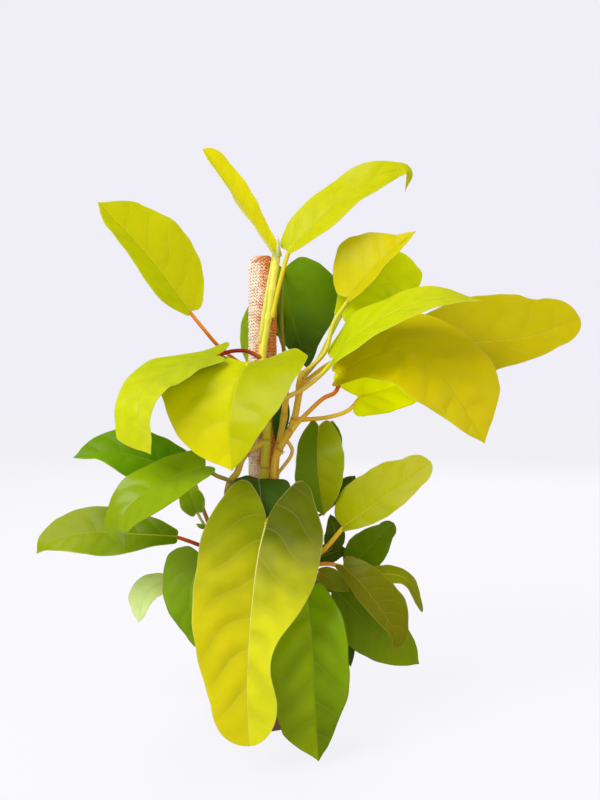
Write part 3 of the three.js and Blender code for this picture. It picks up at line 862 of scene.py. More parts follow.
class NodeBuild:
    """A Geometry Nodes tree that is built here, run once and turned into a plain mesh."""

    SCATTER = {"Density": "Float", "Above": "Float", "Seed": "Int"}

    def __init__(self, name: str, inputs: dict[str, str]) -> None:
        """Makes the tree with its sockets.

        Args:
            name: The tree's name.
            inputs: Socket types by input name. Geometry and Material are always there.
        """
        tree = bpy.data.node_groups.new(name, "GeometryNodeTree")
        tree.is_modifier = True
        tree.interface.new_socket(name="Geometry", in_out="OUTPUT", socket_type="NodeSocketGeometry")
        kinds = {"Geometry": "Geometry", "Material": "Material", **inputs}
        self._ids = {
            label: tree.interface.new_socket(
                name=label, in_out="INPUT", socket_type=f"NodeSocket{kind}"
            ).identifier
            for label, kind in kinds.items()
        }
        self.tree = tree
        self.graph = Graph(tree)
        self.given = self.graph.add("NodeGroupInput").outputs

    def node(self, kind: str, settings: dict[str, Any] | None = None, **sockets: Any) -> bpy.types.Node:
        """Adds a node and fills its inputs.

        Args:
            kind: The node's type name.
            settings: Properties to set on it.
            **sockets: Values or sockets by input name, with underscores for spaces.

        Returns:
            The new node.
        """
        made = self.graph.add(kind, **(settings or {}))
        for key, value in sockets.items():
            self.graph.feed(self.graph.socket(made, key.replace("_", " ")), value)
        return made

    def chance(self, low: float, high: float, seed: int) -> Socket:
        """Adds a random number between two values, by a fixed seed."""
        made = self.node("FunctionNodeRandomValue", {"data_type": "FLOAT"}, Min=low, Max=high, Seed=seed)
        return self.graph.result(made)

    def vector(self, x: Any, y: Any, z: Any) -> Socket:
        """Joins three numbers into a vector.

        Args:
            x: First value or socket.
            y: Second value or socket.
            z: Third value or socket.

        Returns:
            The vector.
        """
        made = self.node("ShaderNodeCombineXYZ")
        for k, entry in enumerate((x, y, z)):
            self.graph.feed(made.inputs[k], entry)
        return made.outputs[0]

    def turned(self, euler: Socket) -> Socket:
        """Turns three angles into a rotation."""
        return self.node("FunctionNodeEulerToRotation", Euler=euler).outputs[0]

    def scatter(self) -> bpy.types.Node:
        """Scatters points on the faces above a height, by the inputs Density, Above and Seed.

        Returns:
            The node that makes them.
        """
        height = self.graph.parts(self.node("GeometryNodeInputPosition").outputs[0])[2]
        picked = self.node("FunctionNodeCompare", {"data_type": "FLOAT", "operation": "GREATER_THAN"})
        self.graph.feed(picked.inputs[0], height)
        self.graph.feed(picked.inputs[1], self.given["Above"])
        return self.node(
            "GeometryNodeDistributePointsOnFaces", {"distribute_method": "RANDOM"},
            Mesh=self.given["Geometry"], Density=self.given["Density"], Seed=self.given["Seed"],
            Selection=self.graph.result(picked),
        )

    def grains(self, points: Socket, rotation: Socket, size: Socket) -> Socket:
        """Puts a stretched small sphere on each point.

        Args:
            points: The points.
            rotation: How each is turned.
            size: Its half lengths, in metres.

        Returns:
            The instances.
        """
        ball = self.node("GeometryNodeMeshIcoSphere", Radius=1.0, Subdivisions=1)
        made = self.node(
            "GeometryNodeInstanceOnPoints", Points=points, Instance=ball.outputs[0],
            Rotation=rotation, Scale=size,
        )
        return made.outputs[0]

    def marked(self, instances: Socket, name: str, value: Socket) -> Socket:
        """Keeps a number on each instance.

        Args:
            instances: The instances.
            name: The attribute's name.
            value: The number.

        Returns:
            The instances with it.
        """
        made = self.node(
            "GeometryNodeStoreNamedAttribute", {"data_type": "FLOAT", "domain": "INSTANCE"},
            Geometry=instances, Name=name, Value=value,
        )
        return made.outputs[0]

    def close(self, geometry: Socket) -> None:
        """Ends the tree in smooth shading, real instances and the material.

        Args:
            geometry: What has been made.
        """
        real = self.node("GeometryNodeRealizeInstances", Geometry=geometry)
        soft = self.node("GeometryNodeSetShadeSmooth", Geometry=real.outputs[0])
        dressed = self.node(
            "GeometryNodeSetMaterial", Geometry=soft.outputs[0], Material=self.given["Material"]
        )
        self.graph.feed(self.graph.add("NodeGroupOutput").inputs["Geometry"], dressed.outputs[0])

    def run(self, piece: bpy.types.Object, **values: Any) -> bpy.types.Object:
        """Runs the tree on a piece and leaves its result as the piece's plain mesh.

        Args:
            piece: The piece that carries the modifier.
            **values: Values by input name, with underscores for spaces.

        Returns:
            The piece.
        """
        modifier = piece.modifiers.new(self.tree.name, "NODES")
        modifier.node_group = self.tree
        for key, value in values.items():
            modifier[self._ids[key.replace("_", " ")]] = value
        plain(piece)
        return piece


def plain(piece: bpy.types.Object) -> None:
    """Turns a piece with live modifiers into a plain mesh, without them.

    Args:
        piece: The piece.
    """
    graph = bpy.context.evaluated_depsgraph_get()
    graph.update()
    mesh = bpy.data.meshes.new_from_object(
        piece.evaluated_get(graph), preserve_all_data_layers=True, depsgraph=graph
    )
    piece.modifiers.clear()
    piece.data = mesh
    mesh.name = piece.name


@dataclass
class Strand:
    """One round strand: the points of its middle, its radius and its colour along them."""

    points: np.ndarray
    girth: np.ndarray
    tint: np.ndarray


class Sweeper:
    """Sweeps a round section along strands, in one Geometry Nodes tree."""

    STRAND_GAP = 37.0
    STREAKS_ROUND, STREAKS_ALONG = 2.2, 0.11
    # painted shade on the undersides of the strands
    WARM_SHARE, WARM_FROM, WARM_RATE = 0.75, 0.1, 1.3
    WARM_LOSS = (0.08, 0.45, 0.6, 0)

    def __init__(self) -> None:
        """Builds the tree."""
        build = NodeBuild("strand_sweep", {"Sides": "Int", "Size": "Float"})
        lines = build.node("GeometryNodeMeshToCurve", Mesh=build.given["Geometry"])
        ring = build.node(
            "GeometryNodeCurvePrimitiveCircle", {"mode": "RADIUS"},
            Resolution=build.given["Sides"], Radius=build.given["Size"],
        )
        turn = build.node("GeometryNodeSplineParameter")
        marked = build.node(
            "GeometryNodeStoreNamedAttribute", {"data_type": "FLOAT", "domain": "POINT"},
            Geometry=ring.outputs[0], Name="around", Value=turn.outputs["Factor"],
        )
        girth = build.node("GeometryNodeInputNamedAttribute", {"data_type": "FLOAT"}, Name="girth")
        swept = build.node(
            "GeometryNodeCurveToMesh", Curve=lines.outputs[0], Profile_Curve=marked.outputs[0],
            Scale=build.graph.result(girth), Fill_Caps=True,
        )
        build.close(swept.outputs[0])
        self._build = build

    def sweep(
        self, name: str, strands: list[Strand], sides: int, material: bpy.types.Material
    ) -> bpy.types.Object:
        """Makes one piece of several strands.

        Args:
            name: The piece's name.
            strands: Its strands, in millimetres.
            sides: Sides of the round section.
            material: Its finish.

        Returns:
            The piece.
        """
        points, edges = [], []
        for strand in strands:
            first = sum(len(p) for p in points)
            edges += [(first + k, first + k + 1) for k in range(len(strand.points) - 1)]
            points.append(strand.points)
        mesh = bpy.data.meshes.new(name)
        mesh.from_pydata((np.vstack(points) * MM).tolist(), edges, [])
        store(mesh, "girth", "FLOAT", np.concatenate([s.girth for s in strands]))
        tint = np.vstack([s.tint for s in strands])
        store(mesh, "tint", "FLOAT_COLOR", np.hstack([tint, np.ones((len(tint), 1))]))
        along = [
            np.linspace(0, len(s.points), len(s.points)) + self.STRAND_GAP * k for k, s in enumerate(strands)
        ]
        store(mesh, "along", "FLOAT", np.concatenate(along))
        piece = mesh_piece(name, mesh)
        self._build.run(piece, Material=material, Sides=sides, Size=MM)
        store(piece.data, "lines", "FLOAT_VECTOR", self._lines(piece.data))
        # painted shade: undersides darker and more orange
        self._warm(piece.data)
        return piece

    def _warm(self, mesh: bpy.types.Mesh) -> None:
        """Paints shade on the undersides of slanting strands, darker and towards orange.

        Args:
            mesh: The swept mesh.
        """
        tints, normals = np.zeros(4 * len(mesh.vertices)), np.zeros(3 * len(mesh.vertices))
        colours = mesh.attributes["tint"].data
        colours.foreach_get("color", tints)
        mesh.vertices.foreach_get("normal", normals)
        # painted shade: the more a face looks down, the more green and blue it loses
        below = np.clip(-normals[2::3] * self.WARM_RATE - self.WARM_FROM, 0, 1)
        share = self.WARM_SHARE * below[:, None]
        warm = tints.reshape(-1, 4) * (1 - share * np.array(self.WARM_LOSS))
        colours.foreach_set("color", warm.astype(np.float32).ravel())

    def _lines(self, mesh: bpy.types.Mesh) -> np.ndarray:
        """Gives coordinates for streaks: slow along a strand and quick round it.

        Args:
            mesh: The swept mesh.

        Returns:
            Three numbers for each vertex.
        """
        along = np.zeros(len(mesh.vertices), np.float32)
        around = np.zeros(len(mesh.vertices), np.float32)
        mesh.attributes["along"].data.foreach_get("value", along)
        mesh.attributes["around"].data.foreach_get("value", around)
        turn = 2 * math.pi * around
        ring = self.STREAKS_ROUND
        return np.stack([ring * np.cos(turn), ring * np.sin(turn), along * self.STREAKS_ALONG], axis=1)


@dataclass(frozen=True)
class BladeGrid:
    """Stations along a blade and across it, with the fixed turns of its small waves."""

    path: Path
    u: np.ndarray
    v: np.ndarray
    turns: tuple[float, ...]

    SMALL_LENGTH = 70
    ROW_PITCHES = (1.45, 1.5)
    COLUMN_STEPS = (15, 10)
    ROW_LIMITS = (26, 120)
    ROW_EASE, COLUMN_EASE = 0.09, 1.55
    FIRST_ROW, LAST_ROW, LAST_COLUMN = 0.003, 0.9985, 0.985
    TURNS = 4

    @classmethod
    def on(cls, points: Sequence[Point], seed: int) -> BladeGrid:
        """Lays out the grid of a blade, closer at its base, tip and midrib and coarser on a small one.

        Args:
            points: Points of its midrib.
            seed: Fixed seed of its small waves.

        Returns:
            The grid.
        """
        draw = random.Random(seed)
        path = Path(points)
        small = path.length < cls.SMALL_LENGTH
        count = int(np.clip(path.length / cls.ROW_PITCHES[small], *cls.ROW_LIMITS))
        even = np.linspace(0, 1, count + 1)
        eased = even - cls.ROW_EASE * np.sin(2 * math.pi * even)
        rows = np.concatenate([[0.0, cls.FIRST_ROW], eased[1:-1], [cls.LAST_ROW]])
        steps = cls.COLUMN_STEPS[small]
        half = (np.arange(1, steps) / steps) ** cls.COLUMN_EASE
        half = np.concatenate([half, [cls.LAST_COLUMN, 1.0]])
        turns = tuple(draw.uniform(0, 6.28) for _ in range(cls.TURNS))
        return cls(path, rows, np.concatenate([-half[::-1], [0.0], half]), turns)

    @property
    def along(self) -> np.ndarray:
        """Shares of the length, as a column."""
        return self.u[:, None]

    @property
    def reach(self) -> np.ndarray:
        """Shares of the half width, as a row."""
        return np.abs(self.v)[None, :]

    @property
    def side(self) -> np.ndarray:
        """One on the plus side and minus one on the other, as a row."""
        return np.where(self.v < 0, -1.0, 1.0)[None, :]

    def halves(self, plus: Any, minus: Any) -> np.ndarray:
        """Gives each side its own value."""
        return np.where(self.side > 0, plus, minus)

    def rise(self, rate: float) -> np.ndarray:
        """Grows from nought at the base to one."""
        return np.clip(self.along * rate, 0, 1)

    def fall(self, rate: float) -> np.ndarray:
        """Shrinks from one to nought at the tip."""
        return np.clip((1 - self.along) * rate, 0, 1)


@dataclass(frozen=True)
class Leaf:
    """One blade: the CAD model's numbers, then what only the finer blade has."""

    name: str
    slot: Slot
    finish: BladeFinish
    rib: list[Point]
    face: list[Point]
    lobe: tuple[float, float]
    fold: tuple[float, float]
    plus: tuple[float, ...]
    minus: tuple[float, ...]
    blunt: bool = False
    wave: tuple[float, float, float] = (0.8, 2, 0)
    pillow: float = 0.7
    spacing: float = 18.0
    sweep: float = 0.75

    STATIONS = (0, 0.15, 0.35, 0.6, 0.82)
    LOBE_END = 0.36
    TIP_SWELL = 0.3
    WAVE_FADE = 4
    THICKNESS = 0.62
    EDGE_THICKNESS = 0.46
    CORNER_SHARE, ROUND_OFF = 0.36, 0.293
    RIPPLES = ((0.014, 17), (0.008, 41))
    RIPPLE_RISE = 8
    EDGE_WAVE, EDGE_RATES, EDGE_SECOND = 0.28, (23, 37), 0.6
    EDGE_FADE = 6
    VEIN_LEAN, VEIN_CURVE, VEIN_OFFSET, VEIN_SWAY = 0.42, 0.5, 0.25, 0.1
    SWAY_RATES = (0.11, 0.07)
    CUSHION_SHAPE, CUSHION_MEAN, CUSHION_SPREAD = 0.7, 0.55, 0.8
    CUSHION_RISE, CUSHION_FALL = 7, 4
    GROOVE_DEPTH, GROOVE_WIDTH = 0.22, 0.8
    KEEL_DEPTH, KEEL_WIDTH, KEEL_TAPER = 1.5, 1.5, 1.4
    RIM_REACH, TIP_REACH = 0.2, 0.25

    def half_width(self, widths: Sequence[float], u: np.ndarray) -> np.ndarray:
        """Half width of one side, as the CAD blade has it.

        Args:
            widths: Half widths at the stations.
            u: Shares of the length.

        Returns:
            The half width at each share.
        """
        stations, values = np.array(self.STATIONS, float), np.array(widths, float)
        last = len(stations) - 1
        low, high = np.maximum(np.arange(last + 1) - 1, 0), np.minimum(np.arange(last + 1) + 1, last)
        slope = (values[high] - values[low]) / (stations[high] - stations[low])
        k = np.clip(np.searchsorted(stations, u, side="right") - 1, 0, last - 1)
        span = stations[k + 1] - stations[k]
        x = (u - stations[k]) / span
        rise = values[k + 1] - values[k]
        start, end = slope[k] * span - rise, rise - slope[k + 1] * span
        inner = values[k] + rise * x + x * (1 - x) * (start * (1 - x) + end * x)
        x = np.clip((u - stations[-1]) / (1 - stations[-1]), 0, 1)
        if self.blunt:
            tip = np.sqrt(1 - x**2)
        else:
            tip = (1 - x) * (1 + self.TIP_SWELL * x) * (1 - 0.3 * np.clip((x - 0.6) / 0.4, 0, 1))
        return np.where(u >= stations[-1], values[-1] * tip, inner)

    def frame(self, path: Path, u: np.ndarray) -> tuple[np.ndarray, np.ndarray, np.ndarray]:
        """Directions along the midrib, out of the upper face and across.

        Args:
            path: The midrib.
            u: Shares of its length.

        Returns:
            Three unit vectors for each share.
        """
        tangent = path.tangent(u)
        faces = unit(np.array(self.face, float))
        place = np.minimum(u * (len(faces) - 1), len(faces) - 1 - 1e-6)
        k = np.maximum(place.astype(int), 0)
        share = (place - k)[:, None]
        ahead = faces[np.minimum(k + 1, len(faces) - 1)]
        face = unit(faces[k] * (1 - share) + ahead * share)
        up = unit(face - tangent * np.sum(face * tangent, axis=1, keepdims=True))
        return tangent, up, np.cross(tangent, up)

    def build(self, seed: int) -> bpy.types.Object:
        """Makes the blade as one closed thin piece.

        Args:
            seed: Fixed seed of its small waves.

        Returns:
            The piece.
        """
        grid = BladeGrid.on(self.rib, seed)
        path, along, reach = grid.path, grid.along, grid.reach
        widths = self._widths(grid)
        back = self._swept_back(grid)
        out, forward = self._outline(grid, widths, back)
        distance = widths * reach
        phase = self._vein_phase(grid, widths, back)
        lift = self._lift(grid, phase)
        bend = np.radians(grid.halves(*self.fold))
        tangent, up, across = (part[:, None, :] for part in self.frame(path, grid.u))
        middle = (
            path.at(grid.u)[:, None, :]
            + across * (grid.side * out * np.cos(bend))[..., None]
            + up * (out * np.sin(bend) + lift)[..., None]
            + tangent * forward[..., None]
        )
        upper, lower = self._faces(grid, middle, distance)
        edge = np.minimum((1 - reach) * widths, along * path.length + 0 * reach)
        blade = np.stack([along + 0 * reach, grid.v[None, :] + 0 * along, edge], axis=-1)
        rib = np.stack([phase, distance, 0 * phase], axis=-1)
        return self._close(middle, upper, lower, blade, rib, path)

    def _widths(self, grid: BladeGrid) -> np.ndarray:
        """Gives the half widths with the edge's fine ripples.

        Args:
            grid: The blade's grid.

        Returns:
            The half width at each grid point.
        """
        plus, minus = (self.half_width(sides, grid.u)[:, None] for sides in (self.plus, self.minus))
        (slow, slow_rate), (quick, quick_rate) = self.RIPPLES
        ripple = slow * np.sin(slow_rate * grid.along + grid.turns[0] + grid.side)
        ripple = ripple + quick * np.sin(quick_rate * grid.along + grid.turns[1] - grid.side)
        return grid.halves(plus, minus) * (1 + ripple * grid.rise(self.RIPPLE_RISE))

    def _swept_back(self, grid: BladeGrid) -> np.ndarray:
        """Gives how far the base's lobes reach back at each grid point."""
        sweep = np.sin(math.pi / 2 * grid.reach) ** self.sweep
        return grid.halves(*self.lobe) * np.maximum(0, 1 - grid.along / self.LOBE_END) ** 2 * sweep

    def _outline(
        self, grid: BladeGrid, widths: np.ndarray, back: np.ndarray
    ) -> tuple[np.ndarray, np.ndarray]:
        """Lays out the flat blade, with the outer corners of its base rounded off.

        Args:
            grid: The blade's grid.
            widths: Its half widths.
            back: How far it reaches back.

        Returns:
            Distance from the midrib and distance forwards of each grid point.
        """
        corner = self.CORNER_SHARE * grid.halves(self.plus[0], self.minus[0])
        reached = grid.path.length + 2 * grid.halves(*self.lobe) / self.LOBE_END
        near = np.clip(1 - grid.along * reached / corner, 0, 1)
        outer = np.clip((grid.reach - 0.5) / 0.5, 0, 1)
        out = widths * grid.reach - self.ROUND_OFF * corner * outer * near**2
        return out, self.ROUND_OFF * corner * outer**2 * near - back

    def _lift(self, grid: BladeGrid, phase: np.ndarray) -> np.ndarray:
        """Gives the broad waves, the finer ones of the edges and the cushions between the side veins.

        Args:
            grid: The blade's grid.
            phase: Numbers of the side veins.

        Returns:
            The lift of each grid point.
        """
        height, count, turn = self.wave
        first, second = self.EDGE_RATES
        swing = np.sin(2 * math.pi * count * grid.along + turn + grid.side) * grid.reach**2
        lift = height * swing * np.minimum(1, self.WAVE_FADE * (1 - grid.along))
        edge = np.sin(first * grid.along + grid.turns[2] + 2 * grid.side)
        edge = edge + self.EDGE_SECOND * np.sin(second * grid.along + grid.turns[3])
        fade = self.EDGE_FADE
        lift = lift + self.EDGE_WAVE * edge * grid.reach**4 * grid.rise(fade) * grid.fall(fade)
        swell = np.abs(np.sin(math.pi * phase)) ** self.CUSHION_SHAPE - self.CUSHION_MEAN
        spread = np.sin(math.pi * grid.reach**self.CUSHION_SPREAD) ** self.CUSHION_SPREAD
        return lift + self.pillow * swell * (
            spread * grid.rise(self.CUSHION_RISE) * grid.fall(self.CUSHION_FALL)
        )

    def _vein_phase(self, grid: BladeGrid, widths: np.ndarray, back: np.ndarray) -> np.ndarray:
        """Numbers the side veins, so that a vein runs at each whole number.

        Args:
            grid: The blade's grid.
            widths: Its half widths.
            back: How far it reaches back.

        Returns:
            The number at each grid point.
        """
        distance = widths * grid.reach
        station = grid.along * grid.path.length - back
        curve = self.VEIN_CURVE * distance**2 / np.maximum(widths, 1)
        phase = (station - self.VEIN_LEAN * distance - curve) / self.spacing
        across, along = self.SWAY_RATES
        sway = np.sin(across * distance + along * station + grid.turns[0])
        return phase + self.VEIN_OFFSET * grid.side + self.VEIN_SWAY * sway

    def _faces(
        self, grid: BladeGrid, middle: np.ndarray, distance: np.ndarray
    ) -> tuple[np.ndarray, np.ndarray]:
        """Sets both faces off the middle surface, with the midrib's groove and keel.

        Args:
            grid: The blade's grid.
            middle: The middle surface.
            distance: Distance from the midrib.

        Returns:
            The upper and the lower face.
        """
        normal = unit(np.cross(np.gradient(middle, axis=1), np.gradient(middle, axis=0)))
        thick = self.EDGE_THICKNESS + (self.THICKNESS - self.EDGE_THICKNESS) * (1 - grid.reach**2)
        groove = self.GROOVE_DEPTH * np.exp(-((distance / self.GROOVE_WIDTH) ** 2)) * (1 - grid.along)
        keel = self.KEEL_DEPTH * (1 - grid.along) ** self.KEEL_TAPER
        keel = keel * np.exp(-((distance / self.KEEL_WIDTH) ** 2))
        upper = middle + normal * (thick / 2 - groove)[..., None]
        return upper, middle - normal * (thick / 2 + keel)[..., None]

    def _close(
        self, grid: np.ndarray, upper: np.ndarray, lower: np.ndarray,
        blade: np.ndarray, rib: np.ndarray, path: Path,
    ) -> bpy.types.Object:
        """Joins both faces by a rounded rim.

        Args:
            grid: Middle surface.
            upper: Upper face.
            lower: Lower face.
            blade: Blade coordinates for each grid point.
            rib: Vein coordinates for each grid point.
            path: The midrib.

        Returns:
            The piece.
        """
        rows, columns = grid.shape[:2]
        count = rows * columns
        index = np.arange(count).reshape(rows, columns)
        tip = path.at(np.array([1.0]))[0]
        middle = columns // 2
        tips = np.array([tip + face[-1, middle] - grid[-1, middle] for face in (upper, lower)])
        quads = [
            (index[i, j], index[i, j + 1], index[i + 1, j + 1], index[i + 1, j])
            for i in range(rows - 1) for j in range(columns - 1)
        ]
        faces = [tuple(int(k) for k in quad) for quad in quads]
        faces += [tuple(int(k) + count for k in reversed(quad)) for quad in quads]
        last = index[-1]
        tip_upper, tip_lower = 2 * count, 2 * count + 1
        for j in range(columns - 1):
            faces.append((int(last[j]), int(last[j + 1]), tip_upper))
            faces.append((int(last[j + 1]) + count, int(last[j]) + count, tip_lower))
        rim = [int(index[0, j]) for j in range(columns - 1)] + [int(k) for k in index[:, -1]]
        rim += [tip_upper] + [int(k) for k in index[1:, 0][::-1]]
        flat = grid.reshape(-1, 3)
        inner = np.vstack([grid[1:2], grid[:-1]])
        outward = grid - inner
        outward[:, 0] = grid[:, 0] - grid[:, 1]
        outward[:, -1] = grid[:, -1] - grid[:, -2]
        outward[0, 1:-1] = grid[0, 1:-1] - grid[1, 1:-1]
        outward = unit(outward).reshape(-1, 3)
        tip_mid = tip + self.TIP_REACH * unit(tip - grid[-1, middle])
        mids = [tip_mid if k == tip_upper else flat[k] + self.RIM_REACH * outward[k] for k in rim]
        first = 2 * count + 2
        for k, start in enumerate(rim):
            step = (k + 1) % len(rim)
            end = rim[step]
            low_start = tip_lower if start == tip_upper else start + count
            low_end = tip_lower if end == tip_upper else end + count
            faces.append((end, start, first + k, first + step))
            faces.append((first + step, first + k, low_start, low_end))
        points = np.vstack([upper.reshape(-1, 3), lower.reshape(-1, 3), tips, np.array(mids)])
        mesh = bpy.data.meshes.new(self.name)
        mesh.from_pydata((points * MM).tolist(), [], faces)
        blade, rib = blade.reshape(-1, 3), rib.reshape(-1, 3)
        tip_blade, tip_rib = np.array([[1.0, 0.0, 0.0]]), np.array([[rib[-1][0], 0.0, 0.0]])
        under = rib + np.array([0.0, 0.0, 1.0])
        source = [0 if k == tip_upper else k for k in rim]
        store(mesh, "blade", "FLOAT_VECTOR", np.vstack([blade, blade, tip_blade, tip_blade, blade[source]]))
        store(mesh, "rib", "FLOAT_VECTOR", np.vstack([rib, under, tip_rib, tip_rib, rib[source]]))
        mesh.materials.append(self.finish.material(f"finish_{self.name}"))
        return mesh_piece(f"blade_{self.name.removeprefix('leaf_')}", mesh)


EVEN_SHARES = (0.5, 0.86, 1, 0.82, 0.48)


def even_sides(half: float) -> tuple[float, ...]:
    """Half widths of a blade of the usual outline."""
    return tuple(share * half for share in EVEN_SHARES)


def small_leaf(
    name: str, slot: Slot, finish: BladeFinish, rib: list[Point], face: list[Point],
    lobe: float, half: float, fold: float = 6, blunt: bool = False,
) -> Leaf:
    """Makes a blade of the usual outline, with both of its sides alike.

    Args:
        name: The CAD node that it replaces.
        slot: Its slot.
        finish: Its finish.
        rib: Its midrib.
        face: Directions of its upper face.
        lobe: How far its base reaches back.
        half: Its greatest half width.
        fold: Degrees that each side rises.
        blunt: Whether its tip is round.

    Returns:
        The blade.
    """
    sides = even_sides(half)
    return Leaf(
        name, slot, finish, rib, face, (lobe, lobe), (fold, fold), sides, sides, blunt, pillow=0.4, spacing=12
    )


DARK_VEIN = "9cb83a"
DARK_EDGE = "6f7a2c"


def shaded(near: str, far: str) -> BladeFinish:
    """Finish of a blade that the others keep in the dark."""
    return BladeFinish((near, far), vein=DARK_VEIN, edge=DARK_EDGE)


DIM = shaded("485e00", "506800")

